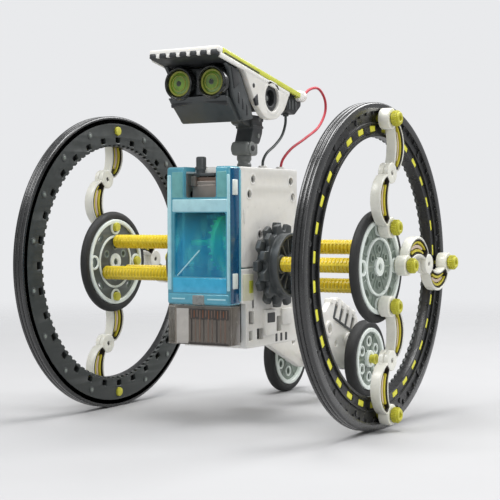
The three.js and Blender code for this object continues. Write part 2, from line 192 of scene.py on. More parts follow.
def plate_x(x, *drawing):
    """A plate square to X; u, v become y, z."""
    verts, faces = plate(*drawing)
    return np.c_[verts[:, 2] + x, verts[:, 0], verts[:, 1]], faces


def plate_y(y, *drawing):
    """A plate square to Y; u, v become x, z."""
    verts, faces = plate(*drawing)
    return np.c_[verts[:, 0], verts[:, 2] + y, verts[:, 1]], [f[::-1] for f in faces]


def plate_z(z, *drawing):
    return move(plate(*drawing), z=z)


def lathe(profile, n, axis="X", at=(0, 0, 0)):
    """Turns a closed profile of (radius, along) about an axis through a point."""
    size, verts, faces = len(profile), [], []
    for i in range(n):
        a = 2 * math.pi * i / n
        for r, t in profile:
            u, w = r * math.cos(a), r * math.sin(a)
            verts.append({"X": (t, u, w), "Y": (w, t, u), "Z": (u, w, t)}[axis])
    for i in range(n):
        j = (i + 1) % n
        for k in range(size):
            m = (k + 1) % size
            faces.append([i * size + k, j * size + k, j * size + m, i * size + m])
    return np.array(verts) + np.array(at, float), faces


def box_profile(inner, outer, start, end):
    return [(inner, start), (outer, start), (outer, end), (inner, end)]


def tube(inner, outer, start, end, edge, steps, n, axis="X", at=(0, 0, 0)):
    """A ring of rectangular section with rounded edges."""
    return lathe(fillet(box_profile(inner, outer, start, end), edge, steps), n, axis, at)


def cyl(r, start, end, axis="X", at=(0, 0, 0), n=32, edge=0.2, bore=0.0):
    edge = min(edge, abs(end - start) / 3, r / 3)
    section = box_profile(max(bore, 1e-4), r, start, end)
    return lathe(fillet(section, edge, 2, closed=bore > 0), n, axis, at)


def box(x0, x1, y0, y1, z0, z1, edge, steps=2):
    bm = bmesh.new()
    bmesh.ops.create_cube(bm, size=1.0)
    for v in bm.verts:
        v.co = ((x0 + x1) / 2 + v.co.x * (x1 - x0),
                (y0 + y1) / 2 + v.co.y * (y1 - y0),
                (z0 + z1) / 2 + v.co.z * (z1 - z0))
    edge = min(edge, 0.45 * min(x1 - x0, y1 - y0, z1 - z0))
    bmesh.ops.bevel(bm, geom=bm.edges[:], offset=edge, segments=steps, profile=0.5, affect="EDGES")
    bm.verts.index_update()
    verts = np.array([v.co[:] for v in bm.verts])
    faces = [[v.index for v in f.verts] for f in bm.faces]
    bm.free()
    return verts, faces


def span(side, a, b):
    """Two distances out from the middle, as an ascending pair on one side."""
    return sorted((side * a, side * b))


def turn(shape, degrees, axis="X", at=(0, 0, 0)):
    rotation = np.array(Matrix.Rotation(radians(degrees), 3, axis))
    at = np.array(at, float)
    return (shape[0] - at) @ rotation.T + at, shape[1]


def move(shape, x=0, y=0, z=0):
    return shape[0] + np.array([x, y, z]), shape[1]


def to_frame(points):
    return (np.array(points) + AXLE) * MM


class Piece:
    """Solids gathered into one mesh. The materials fill its slots in order."""

    def __init__(self, *materials):
        self.materials = materials
        self.verts, self.faces, self.slots = np.empty((0, 3)), [], []

    def add(self, shape, material=None):
        """Without a material the shape takes the first slot."""
        verts, faces = shape
        first = len(self.verts)
        self.verts = np.vstack([self.verts, verts])
        self.faces += [[i + first for i in face] for face in faces]
        self.slots += [self.materials.index(material) if material else 0] * len(faces)
        return self

    def add_round(self, shape, angles, material=None):
        """Repeats a shape about the axle."""
        for a in angles:
            self.add(turn(shape, a), material)

    def add_boxes(self, rows, material=None):
        """Each row holds the arguments of box()."""
        for row in rows:
            self.add(box(*row), material)

    def redrawn(self, verts, faces=None):
        other = Piece(*self.materials)
        other.verts, other.faces, other.slots = verts, faces or self.faces, self.slots
        return other

    def across(self, drawn, fitted):
        """Maps positions along the axle from the drawn to the fitted stations."""
        verts = self.verts.copy()
        verts[:, 0] = np.interp(verts[:, 0], drawn, fitted)
        return self.redrawn(verts)

    def turned(self, degrees):
        return self.redrawn(turn((self.verts, None), degrees)[0])

    def moved(self, x, y, z):
        return self.redrawn(self.verts + np.array([x, y, z]))

    def sided(self, side):
        """The right-hand piece, or its mirror image for the left."""
        if side > 0:
            return self
        return self.redrawn(self.verts * np.array([-1, 1, 1]), [f[::-1] for f in self.faces])

    def make(self, name):
        mesh = bpy.data.meshes.new(name)
        mesh.from_pydata(to_frame(self.verts).tolist(), [], self.faces)
        for material in self.materials:
            mesh.materials.append(material)
        mesh.polygons.foreach_set("material_index", self.slots)
        bm = bmesh.new()
        bm.from_mesh(mesh)
        bmesh.ops.remove_doubles(bm, verts=bm.verts, dist=2e-7)
        bmesh.ops.dissolve_degenerate(bm, edges=bm.edges, dist=1e-7)
        bmesh.ops.recalc_face_normals(bm, faces=bm.faces)
        bm.to_mesh(mesh)
        bm.free()
        mesh.polygons.foreach_set("use_smooth", [True] * len(mesh.polygons))
        mesh.set_sharp_from_angle(angle=radians(SHARP_ANGLE))
        ob = bpy.data.objects.new(name, mesh)
        bpy.context.scene.collection.objects.link(ob)
        return ob

    def fit(self, node, body, slot):
        """Makes the object that stands in for a CAD node and rides on a body."""
        ob = self.make(f"vis_{node}")
        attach(ob, body)
        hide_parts(node)


# ------------------------------------------------------------------ material builders
def srgb(r, g, b):
    return tuple(c / 255 / 12.92 if c <= 10 else ((c / 255 + 0.055) / 1.055) ** 2.4
                 for c in (r, g, b)) + (1.0,)


def add_node(tree, kind, inputs, **settings):
    """Each input is either a socket to link or a value."""
    node = tree.nodes.new("ShaderNode" + kind)
    for name, value in settings.items():
        setattr(node, name, value)
    for key, value in inputs.items():
        if isinstance(value, bpy.types.NodeSocket):
            tree.links.new(value, node.inputs[key])
        else:
            node.inputs[key].default_value = value
    return node


def map_range(tree, value, start, end, low=0.0, high=1.0, **settings):
    inputs = {"Value": value, "From Min": start, "From Max": end, "To Min": low, "To Max": high}
    return add_node(tree, "MapRange", inputs, **settings).outputs[0]


def mix_color(tree, factor, a, b):
    return add_node(tree, "Mix", {0: factor, 6: a, 7: b}, data_type="RGBA").outputs[2]


def mix_shader(tree, factor, a, b):
    return add_node(tree, "MixShader", {0: factor, 1: a, 2: b}).outputs[0]


def find_node(tree, kind):
    return next(node for node in tree.nodes if node.type == kind)


def new_tree(name):
    material = bpy.data.materials.new(name)
    material.use_nodes = True
    material.node_tree.nodes.clear()
    return material, material.node_tree


def solid(name, color, rough, metal=0.0, vary=0.12, grain=900, bump=0.06, coat=0.0, wear=0.25,
          streak=False, sss=0.0, spec=0.5):
    """Plastic, rubber or metal: mottled colour, uneven roughness, fine grain, paler edges, painted
    shade in the creases.
    """
    material, tree = new_tree(name)
    color = srgb(*color)[:3]
    place = add_node(tree, "TexCoord", {}).outputs["Object"]

    def noise(scale, detail, vector=place):
        inputs = {"Scale": scale, "Detail": detail, "Vector": vector}
        return add_node(tree, "TexNoise", inputs).outputs[0]

    grain_place = place
    if streak:                          # stretches the grain along Z
        inputs = {0: place, "Scale": (1, 1, 0.06)}
        grain_place = add_node(tree, "Mapping", inputs).outputs[0]
    broad, mottle = noise(55, 3), noise(420, 5)
    fine = noise(grain * 2.2, 6, grain_place)
    blend = add_node(tree, "Math", {
        0: map_range(tree, mottle, 0.3, 0.7), 1: 0.5,
        2: map_range(tree, broad, 0.35, 0.65, 0, 0.5)}, operation="MULTIPLY_ADD").outputs[0]
    dark = [c * (1 - vary) for c in color] + [1]
    light = [min(1, c * (1 + vary) + 0.004) for c in color] + [1]
    mottled = mix_color(tree, blend, dark, light)
    # worn, slightly paler edges
    pointed = add_node(tree, "NewGeometry", {}).outputs["Pointiness"]
    worn = add_node(tree, "Math", {
        0: map_range(tree, pointed, 0.52, 0.62, 0, wear),
        1: map_range(tree, mottle, 0.25, 0.7, 0.4, 1.0)}, operation="MULTIPLY").outputs[0]
    edged = mix_color(tree, worn, mottled, [min(1, c * 1.3 + 0.08) for c in color] + [1])
    # painted shade: darker colour in the creases
    crease = map_range(tree, pointed, 0.49, 0.42, 0, 0.55)
    relief = {"Strength": bump * 4, "Distance": 0.00012, "Height": fine}
    inputs = {
        "Base Color": mix_color(tree, crease, edged, [c * 0.45 for c in color] + [1]),
        "Roughness": map_range(tree, mottle, 0.25, 0.75, max(rough - 0.09, 0.04),
                               min(rough + 0.12, 1)),
        "Metallic": metal,
        "Specular IOR Level": spec,
        "Coat Weight": coat,
        "Coat Roughness": 0.12,
        "Normal": add_node(tree, "Bump", relief).outputs[0],
    }
    if sss:
        inputs["Subsurface Weight"] = sss
        inputs["Subsurface Radius"] = (0.0015, 0.0013, 0.001)
        inputs["Subsurface Scale"] = 1.0
    surface = add_node(tree, "BsdfPrincipled", inputs)
    add_node(tree, "OutputMaterial", {0: surface.outputs[0]})
    return material


def clear(name, color, clear, rough, tint, milky=0.2):
    """Tinted moulding: part see-through, part glossy, clearer face-on than at grazing angles."""
    material = solid(name, color, rough=rough, vary=0.1, bump=0.02, coat=0.7, wear=0.5)
    tree = material.node_tree
    output, surface = find_node(tree, "OUTPUT_MATERIAL"), find_node(tree, "BSDF_PRINCIPLED")
    place = find_node(tree, "TEX_COORD").outputs["Object"]
    through = add_node(tree, "BsdfTransparent", {0: srgb(*tint)}).outputs[0]
    facing = add_node(tree, "LayerWeight", {0: 0.35}).outputs["Facing"]
    haze = add_node(tree, "TexNoise", {"Scale": 120, "Vector": place}).outputs[0]
    opacity = add_node(tree, "Math", {
        0: haze, 1: milky * 0.5,
        2: map_range(tree, facing, 0, 1, 1 - clear, 1)}, operation="MULTIPLY_ADD").outputs[0]
    seen = mix_shader(tree, opacity, through, surface.outputs[0])
    # light reaching the inside passes nearly unfiltered, as it does through thin clear walls
    shadow = add_node(tree, "BsdfTransparent", {0: (0.93, 0.96, 0.98, 1)}).outputs[0]
    is_shadow = add_node(tree, "LightPath", {}).outputs["Is Shadow Ray"]
    tree.links.new(mix_shader(tree, is_shadow, seen, shadow), output.inputs[0])
    return material


def paint_pane_shade_and_reflections(material):
    """Painted shade: deep teal towards the top; painted reflections: cyan patches lower down."""
    tree = material.node_tree
    base = find_node(tree, "BSDF_PRINCIPLED").inputs["Base Color"]
    place = find_node(tree, "TEX_COORD").outputs["Object"]
    plain = base.links[0].from_socket
    height = add_node(tree, "SeparateXYZ", {0: place}).outputs["Z"]
    stretched = add_node(tree, "Mapping", {0: place, "Scale": (1.0, 1.0, 0.35)}).outputs[0]
    noise = add_node(tree, "TexNoise", {"Scale": 260, "Detail": 2, "Vector": stretched}).outputs[0]
    # painted reflections: cyan patches
    with_painted_reflections = mix_color(tree, map_range(tree, noise, 0.5, 0.62), plain, srgb(96, 214, 232))
    # painted shade: deep teal towards the top
    top = map_range(tree, height, 0.0575, 0.0665)
    tree.links.new(mix_color(tree, top, with_painted_reflections, srgb(12, 74, 96)), base)


# ------------------------------------------------------------------ materials
HOOP = solid("hoop_charcoal", (50, 54, 53), rough=0.36, grain=1500, bump=0.1, wear=0.5)
HOOP_BOSS = solid("hoop_boss", (116, 124, 118), rough=0.3, vary=0.15, coat=0.3)
CHANNEL = solid("hoop_channel", (15, 16, 17), rough=0.3, grain=1500, bump=0.08)
TREAD = solid("hoop_tread", (26, 27, 28), rough=0.24, grain=1500, bump=0.08, wear=0.5, coat=0.4,
              spec=0.6)
INSERT = solid("insert_ring_yellow", (226, 222, 60), rough=0.38, vary=0.1)
# painted yellow reflections in the arms' recesses
YELLOW_REFLECTION = solid("arm_painted_yellow_reflection", (196, 184, 46), rough=0.4, vary=0.16)
# painted shade in the arms' recesses
POCKET_SHADE = solid("arm_pocket_painted_shade", (40, 34, 28), rough=0.4, vary=0.3, wear=0.2)
TONGUE = solid("tongue_buff", (196, 176, 160), rough=0.4, vary=0.14, wear=0.3)
LIME = solid("insert_yellow", (176, 182, 56), rough=0.34, vary=0.16)
ROD = solid("rod_yellow", (222, 196, 30), rough=0.34, vary=0.14, coat=0.25, sss=0.08)
PIN = solid("pin_olive", (186, 182, 50), rough=0.4, vary=0.16, wear=0.4)
HUB = solid("hub_pale", (112, 124, 114), rough=0.36, vary=0.08, coat=0.2)
HUB_SHADED = solid("hub_shaded", (84, 90, 86), rough=0.4, vary=0.16, wear=0.3)
BRIGHT = solid("hub_rim_bright", (222, 230, 224), rough=0.28, vary=0.05, coat=0.3)
RUBBER = solid("rubber_black", (26, 27, 27), rough=0.62, grain=2600, bump=0.22, wear=0.35,
               vary=0.2)
ARM = solid("arm_ivory", (226, 225, 214), rough=0.3, vary=0.04, coat=0.3, sss=0.1)
CREAM = solid("block_cream", (214, 212, 186), rough=0.36, vary=0.08)
WHITE = solid("frame_white", (229, 227, 221), rough=0.34, vary=0.05, coat=0.15, sss=0.08)
DARK = solid("dark_grey", (62, 66, 67), rough=0.38, vary=0.14, wear=0.45)
NECK_GREY = solid("neck_grey", (112, 116, 114), rough=0.36, vary=0.14, wear=0.5, coat=0.2)
DEEP = solid("deep_grey", (34, 36, 38), rough=0.42, vary=0.15, wear=0.3)
SMOKY = clear("smoky_grey", (134, 132, 128), clear=0.42, rough=0.22, tint=(206, 202, 196))
BLUE = clear("cover_blue", (96, 172, 190), clear=0.5, rough=0.1, tint=(150, 222, 236))
# painted shade: darker copy of the cover blue for the side walls
BLUE_SIDE_SHADE = clear("cover_blue_painted_side_shade", (14, 78, 116), clear=0.5, rough=0.08, tint=(70, 160, 200))
PANE = clear("cover_pane", (34, 158, 206), clear=0.8, rough=0.05, tint=(168, 232, 240),
             milky=0.06)
paint_pane_shade_and_reflections(PANE)
# painted highlights and reflections on the cover
BLUE_HIGHLIGHT = clear("cover_blue_painted_highlight", (176, 218, 226), clear=0.3, rough=0.14,
                  tint=(170, 222, 236))
# painted light: brighter azure where light shows through the cover
AZURE_LIGHT = clear("cover_painted_light_azure", (50, 176, 214), clear=0.4, rough=0.08, tint=(120, 214, 240))
# painted light: paler sea green where light shows through the cover
SEA_GREEN_LIGHT = clear("cover_painted_light_sea_green", (118, 178, 176), clear=0.5, rough=0.1, tint=(176, 224, 216))
GREEN = solid("gear_green", (70, 226, 90), rough=0.3, vary=0.1, coat=0.3, sss=0.1)
STEEL = solid("motor_steel", (150, 140, 132), rough=0.38, metal=0.45, vary=0.1, streak=True,
              bump=0.12)
SOOT = solid("contact_well", (44, 38, 34), rough=0.5, vary=0.25)
BROWN = solid("motor_endcap", (104, 84, 72), rough=0.45, vary=0.15)
COPPER = solid("contact_copper", (128, 84, 60), rough=0.4, metal=0.6, vary=0.2)
TERMINAL = solid("motor_terminal", (120, 112, 104), rough=0.4, metal=0.4, vary=0.2)
# strong mottling: partly the lens's own colour variation, partly painted highlights
LENS = solid("lens_green", (98, 132, 34), rough=0.08, vary=0.65, coat=1.0, bump=0.01)
LENS_CORE = solid("lens_core", (18, 34, 14), rough=0.06, vary=0.3, coat=1.0, bump=0.01)
BEZEL = solid("bezel_black", (18, 20, 19), rough=0.22, vary=0.2, coat=0.4, wear=0.4)
CELL = solid("panel_cell", (20, 30, 62), rough=0.34, vary=0.35, coat=0.15, spec=0.25, bump=0.02,
             streak=True)
GRID = solid("panel_grid", (190, 194, 198), rough=0.3, metal=0.8)
SMOKE = clear("smoky_block", (134, 127, 119), clear=0.62, rough=0.2, tint=(186, 178, 168),
              milky=0.12)
LENS_RING = solid("lens_ring_olive", (134, 140, 44), rough=0.3, vary=0.3, coat=0.5)
END_CLEAR = clear("block_end_clear", (186, 182, 176), clear=0.3, rough=0.2, tint=(214, 210, 204))
TRAY = solid("panel_tray", (196, 200, 60), rough=0.36, vary=0.12, coat=0.2)
RED = solid("lead_red", (186, 44, 60), rough=0.42, grain=1800, bump=0.1)
BLACK = solid("lead_black", (52, 60, 60), rough=0.42, grain=1800, bump=0.1)


# ------------------------------------------------------------------ hoop wheels
# All are drawn for the right-hand side; across() then fits their widths.
TREAD_PROFILE = [       # radius, x: a band with two shallow grooves
    (47.3, 47.5), (49.6, 47.5), (50, 47.9), (50, 48.9), (49.7, 49.05), (49.7, 49.35), (50, 49.5),
    (50, 50.5), (49.7, 50.65), (49.7, 50.95), (50, 51.1), (50, 52.1), (49.6, 52.5), (47.3, 52.5)]


def hoop():
    part = Piece(HOOP, CHANNEL, TREAD, HOOP_BOSS)
    slots = slots_on(42.0, 2.1, 4.0, 0.4, [(i + 0.5) * SLOT_PITCH for i in range(SLOT_COUNT)])
    small = slots_on(41.85, 1.9, 2.5, 0.35, [i * SLOT_PITCH for i in range(SLOT_COUNT)])
    pin_holes = holes_at([polar(RIM_PIN_R, a) for _, a in SPOKES], 1.7, 20)
    # inboard face plate, its inner edge finely toothed, then the tread wall
    inboard = [toothed(39.7, 0.55, 96)] + small + pin_holes
    part.add(plate_x(48.25, disc(49.2, 192), inboard, 1.5, 0.22))
    part.add(lathe(fillet(TREAD_PROFILE, 0.22, 2), 192), TREAD)
    # outboard channel: inner wall, slotted floor, middle bead
    part.add(tube(39.7, 40.6, 48.6, 52.2, 0.2, 2, 192), CHANNEL)
    outboard = [disc(40.3, 192)] + slots + pin_holes
    part.add(plate_x(51.0, disc(47.6, 192), outboard, 0.9, 0.15), CHANNEL)
    part.add(tube(43.6, 44.1, 51.2, 52.1, 0.15, 2, 192), CHANNEL)
    # dark floor behind the inboard slots
    part.add(tube(41.0, 43.5, 49.35, 49.6, 0, 1, 160), CHANNEL)
    for i in range(18):                 # small round bosses, both faces
        inner_at = (0, *polar(45.3, i * 20 + 10))
        outer_at = (0, *polar(45.6, i * 20 + 10))
        part.add(cyl(1.15, 47.3, 48.2, at=inner_at, n=20, edge=0.15))
        part.add(cyl(0.62, 47.16, 48.2, at=inner_at, n=16, edge=0.15), HOOP_BOSS)
        part.add(cyl(0.9, 51.2, 51.9, at=outer_at, n=16), CHANNEL)
    # short webs between channel floor and tread wall
    web = box(51.2, 52.0, 46.3, 47.5, -0.25, 0.25, 0.1, 1)
    part.add_round(web, [i * 360 / 64 for i in range(64)], CHANNEL)
    return part.across([46.5, 47.5, 52.5], [46.8, 47.8, 51.8])


def hoop_insert():
    """A ring with raised pads that fill the slots."""
    part = Piece(INSERT).add(tube(40.75, 43.3, 49.9, 50.5, 0.15, 2, 160))
    pad = box(50.3, 51.45, 41.15, 42.95, -1.75, 1.75, 0.3)
    part.add_round(pad, [(i + 0.5) * SLOT_PITCH for i in range(SLOT_COUNT)])
    return part.across([47.5, 52.5], [47.8, 51.8])


def hub():
    part = Piece(HUB, BRIGHT, HUB_SHADED)
    pins = [polar(HUB_PIN_R, a) for a in range(0, 360, 90)]
    bosses = [polar(5.4, a) for a in range(30, 390, 60)]
    slots = slots_on(11.2, 1.6, 3.2, 0.7, (45, 135, 225, 315))
    holes = holes_at(pins, 1.7, 20) + holes_at(bosses, 0.85, 14) + [disc(1.1, 16)] + slots
    part.add(plate_x(51.1, disc(13.8, 96), holes, 1.8, 0.15))
    # shaded inboard face
    holes = holes_at(pins, 1.75, 20) + holes_at(bosses, 0.9, 14) + [disc(1.15, 16)] + slots
    part.add(plate_x(49.95, disc(13.4, 96), holes, 0.5, 0.08), HUB_SHADED)
    part.add(tube(13.2, 14.6, 48.6, 53.4, 0.35, 3, 96), BRIGHT)
    part.add(tube(8.3, 9.1, 49.2, 52.9, 0.2, 2, 80), BRIGHT)
    for y, z in pins:                   # collars set a touch inward of the holes
        part.add(cyl(2.5, 49.0, 53.1, at=(0, y * 0.985, z * 0.985), n=28, bore=1.72), BRIGHT)
    for y, z in bosses:
        part.add(cyl(1.45, 49.6, 52.7, at=(0, y, z), n=20, bore=0.86))
    part.add(cyl(2.9, 49.0, 53.1, n=28, bore=1.15), BRIGHT)
    outer_rib = box(50.2, 52.5, 9.0, 13.4, -0.3, 0.3, 0.12, 1)
    inner_rib = box(50.2, 52.4, 2.6, 8.4, -0.25, 0.25, 0.1, 1)
    part.add_round(outer_rib, [a + 22.5 for a in range(0, 360, 45)])
    part.add_round(inner_rib, range(0, 360, 60))
    return part.across([48.5, 53.5], [48.5, 51.8])


def hub_tyre():
    profile = [(14.8, 49.1), (16.2, 49.1), (17.0, 49.7), (17.3, 50.5),
               (17.3, 51.5), (17.0, 52.3), (16.2, 52.9), (14.8, 52.9)]
    return Piece(RUBBER).add(lathe(fillet(profile, 0.5, 3), 96)).across([49, 53], [48.7, 51.6])


def arc_points(length, rise, start, end, n):
    """Part of an arc over a chord; start and end are fractions of the arc."""
    r = (length * length / 4 + rise * rise) / (2 * rise)
    half = math.asin(min(1, length / 2 / r))
    points = []
    for i in range(n + 1):
        a = -half + 2 * half * (start + (end - start) * i / n)
        points.append((length / 2 + r * math.sin(a), r * math.cos(a) - (r - rise)))
    return points


def spoke_arm(start, end, side, inner):
    """A crescent arm: ivory frame, a dark pocket of painted shade edged with painted yellow
    reflections, an eye at each joint.
    """
    part = Piece(ARM, YELLOW_REFLECTION, POCKET_SHADE, TONGUE)

    def crescent(high, low, corner):
        """high and low arcs: rise, inset at each end as a fraction, steps."""
        points = []
        for (rise, inset, n), ends in ((high, 1), (low, -1)):
            points += arc_points(end - start, rise, *(inset, 1 - inset)[::ends], n)
        return [(start + u, w * side) for u, w in fillet(points, corner, 2)]

    opening = (8.1, 0.15, 20), (3.5, 0.16, 16)
    body = crescent((9.0, 0.0, 26), (2.6, 0.015, 18), 0)
    wide_window, window = crescent(*opening, 0.6), crescent(*opening, 0.5)
    wall = crescent((7.8, 0.17, 20), (3.8, 0.18, 16), 0.5)
    # painted yellow reflections along the edges of the recess
    upper_reflection = crescent((7.5, 0.2, 20), (6.8, 0.23, 16), 0.25)
    lower_reflection = crescent((4.9, 0.25, 18), (4.15, 0.27, 14), 0.25)
    tongue = crescent((6.35, 0.28, 14), (5.3, 0.31, 12), 0.3)
    part.add(plate_x(56.05, body, [wide_window], 4.3, 0.45, 3))
    # painted shade: dark sheets across the opening and round its wall
    part.add(plate_x(55.9, window, [], 0.9, 0.1, 1), POCKET_SHADE)
    part.add(plate_x(56.05, wide_window, [wall], 4.15, 0.08, 1), POCKET_SHADE)
    part.add(plate_x(56.05, upper_reflection, [], 3.2, 0.12), YELLOW_REFLECTION)
    part.add(plate_x(56.05, lower_reflection, [], 3.2, 0.12), YELLOW_REFLECTION)
    part.add(plate_x(56.0, tongue, [], 2.6, 0.25), TONGUE)
    # the arms lap at the elbow, the inner one inboard
    elbow, pin = (end, start) if inner else (start, end)
    lap = (53.85, 56.0) if inner else (56.1, 58.3)
    part.add(tube(1.72, 3.25, 53.8, 58.3, 0.4, 3, 40, at=(0, pin, 0)))
    part.add(tube(0.75, 3.2, *lap, 0.35, 3, 40, at=(0, elbow, 0)))
    if not inner:
        # painted shade inside the elbow eye
        part.add(cyl(0.74, 54.2, 57.9, at=(0, elbow, 0), n=16), POCKET_SHADE)
    return part.across([53.8, 58.3], [52.1, 55.6])


def knurled_pin(start, y):
    """A push pin: shaft, collar, knurled head with a dimpled end."""
    part = Piece(PIN)
    at = (0, y, 0)
    part.add(cyl(1.5, start, 58.8, at=at, n=28, edge=0.3))
    points = 24 * 4
    outline = []
    for i in range(points):
        a = 2 * math.pi * i / points
        r = 2.4 - (0.22 if i % 4 in (0, 1) else 0.0)
        outline.append((y + r * math.cos(a), r * math.sin(a)))
    part.add(plate_x(59.75, outline, [], 2.0, 0.18))
    part.add(cyl(2.15, 58.6, 59.0, at=at, n=28, edge=0.1))
    part.add(tube(0.9, 1.9, 60.5, 61.45, 0.3, 3, 28, at=at))
    return part.across([47.0, 47.9, 53.8, 58.6, 61.5], [47.3, 47.9, 52.1, 55.9, 58.3])


def rod(degrees):
    """A rod beside the axle with shallow turned ribs and four lengthwise rails."""
    at = (0, ROD_CIRCLE_R, 0)
    profile = [(1e-4, 21.3), (2.0, 21.3)]
    x = 21.5
    while x < 47.6:
        profile += [(2.32, x + 0.15), (2.32, x + 0.75), (1.98, x + 0.95), (1.98, x + 1.15)]
        x += 1.3
    profile += [(2.2, 47.9), (2.2, 48.3), (1e-4, 48.3)]
    part = Piece(ROD).add(lathe(profile, 28, at=at))
    for a in (0, 90, 180, 270):
        part.add(turn(box(21.5, 48.0, 8.85, 9.33, -0.4, 0.4, 0.15, 1), a, at=at))
    return part.turned(degrees)


def sprocket(rod_angles):
    """Two staggered toothed plates, a drum and a socket for each rod."""
    part = Piece(DARK)
    holes = [disc(2.3, 24)] + holes_at([polar(8.6, a) for a in range(15, 375, 60)], 1.3, 18)
    part.add(plate_x(15.1, gear_outline(12, 11.2, 13.6, 16), holes, 1.75, 0.28))
    staggered = gear_outline(12, 10.9, 13.2, 16, turned=math.pi / 12)
    part.add(plate_x(17.05, staggered, holes, 1.75, 0.28))
    part.add(cyl(10.2, 16.0, 18.6, n=72, edge=0.3, bore=2.3))
    cup = [(7.9, 18.3), (10.2, 18.3), (10.2, 21.0), (9.3, 21.0), (9.3, 19.4), (7.9, 19.4)]
    part.add(lathe(fillet(cup, 0.25, 2), 72))
    part.add(cyl(3.6, 18.3, 20.9, bore=2.1))
    for a in rod_angles:
        part.add(cyl(3.0, 18.3, 21.15, at=(0, *polar(ROD_CIRCLE_R, a)), n=28, bore=1.2))
    rib = box(18.3, 19.9, 3.4, 8.2, -0.3, 0.3, 0.1, 1)
    part.add_round(rib, [i * 30 + 7 for i in range(12)])
    return part


def build_wheels():
    rim, insert, hub_disc, tyre = hoop(), hoop_insert(), hub(), hub_tyre()
    spoke_parts = (
        ("arm_inner", spoke_arm(HUB_PIN_R, ELBOW_R, 1, True), "arm"),
        ("arm_outer", spoke_arm(ELBOW_R, RIM_PIN_R, -1, False), "arm"),
        ("pin_hub", knurled_pin(47.9, HUB_PIN_R), "pin"),
        ("pin_rim", knurled_pin(47.0, RIM_PIN_R), "pin"))
    for side, tag in SIDES:
        rim.sided(side).fit(f"rim_{tag}", "drive", "hoop")
        insert.sided(side).fit(f"rim_insert_{tag}", "drive", "insert")
        hub_disc.sided(side).fit(f"hub_disc_{tag}", "drive", "hub")
        tyre.sided(side).fit(f"hub_tyre_{tag}", "drive", "band")
        sprocket(ROD_ANGLES[tag]).sided(side).fit(f"sprocket_{tag}", "drive", "dark")
        for i, a in enumerate(ROD_ANGLES[tag]):
            rod(a).sided(side).fit(f"rod_{i + 1}_{tag}", "drive", "rod")
        for place, a in SPOKES:
            for name, part, slot in spoke_parts:
                part.turned(a).sided(side).fit(f"{name}_{place}_{tag}", "drive", slot)


# ------------------------------------------------------------------ shaft and gears
def build_output_axle():
    part = Piece(WHITE).add(cyl(2.0, -20.8, 20.8, n=40, edge=0.3))
    holes = [disc(2.0, 24)] + holes_at([polar(5.4, a) for a in range(0, 360, 60)], 1.2, 14)
    part.add(plate_x(7.2, gear_outline(AXLE_TEETH, 8.1, 9.7, 12), holes, 3.0, 0.15))
    part.fit("output_axle", "drive", "white")


def build_crown_gear():
    """A disc with face teeth, and a small gear beside it that meets the axle's."""
    part = Piece(GREEN)
    part.add(cyl(9.1, 3.4, 4.95, n=96, bore=1.0))
    part.add(tube(5.9, 6.7, 2.6, 3.6, 0.15, 2, 64))
    tooth = box(2.15, 3.6, -0.27, 0.27, 7.6, 9.0, 0.12)
    part.add_round(tooth, [(i + 0.5) * 15 for i in range(24)])
    part.add(plate_x(7.1, gear_outline(IDLER_TEETH, 4.0, 5.6, 12), [disc(1.0, 16)], 3.9, 0.15))
    part.add(cyl(1.0, -9.4, 9.6, n=24))
    part.moved(0, MOTOR_Y, IDLER_Z).fit("crown_gear", "idler", "green")


def build_motor_pinion():
    part = Piece(WHITE)
    part.add(plate_z(PINION_Z + 0.65, gear_outline(8, 2.05, 3.2, 12), [], 1.3, 0.12))
    part.add(cyl(0.9, PINION_Z + 1.2, 17.6, "Z", n=20))
    part.moved(0, MOTOR_Y, 0).fit("motor_pinion", "rotor", "white")


def build_motor():
    part = Piece(STEEL, BROWN, DARK, TERMINAL)
    # the can is round, with flats at front and back
    can = []
    for x, y in disc(7.6, 72):
        can.append((x, MOTOR_Y + max(-5.8, min(5.8, y))))
    inner = [(x * 0.86, MOTOR_Y + (y - MOTOR_Y) * 0.86) for x, y in can]
    part.add(plate_z(22.0, can, [], 7.4, 0.5, 3))
    part.add(plate_z(26.1, can, [inner], 1.2, 0.25))
    part.add(plate_z(26.6, inner, [], 2.6, 0.3), BROWN)
    part.add(cyl(2.6, 27.6, 28.9, "Z", (0, MOTOR_Y, 0)), BROWN)
    part.add(box(-5.4, 2.6, MOTOR_Y - 5.4, MOTOR_Y - 2.2, 28.2, 29.2, 0.3), DARK)
    post = (-3.3, MOTOR_Y - 3.8, 0)
    part.add(cyl(1.6, 28.6, 34.4, "Z", post, edge=0.6), DARK)
    part.add(tube(1.5, 1.9, 30.2, 31.2, 0.1, 3, 32, "Z", post), DARK)
    for s in (-1, 1):
        part.add_boxes([
            (s * 4.6 - 0.9, s * 4.6 + 0.9, MOTOR_Y - 6.5, MOTOR_Y - 5.2, 25.0, 28.2, 0.15),
            (s * 4.9 - 0.35, s * 4.9 + 0.35, MOTOR_Y - 1.5, MOTOR_Y + 1.5, 27.6, 29.4, 0.1),
        ], TERMINAL)
    part.fit("motor", "chassis", "can")


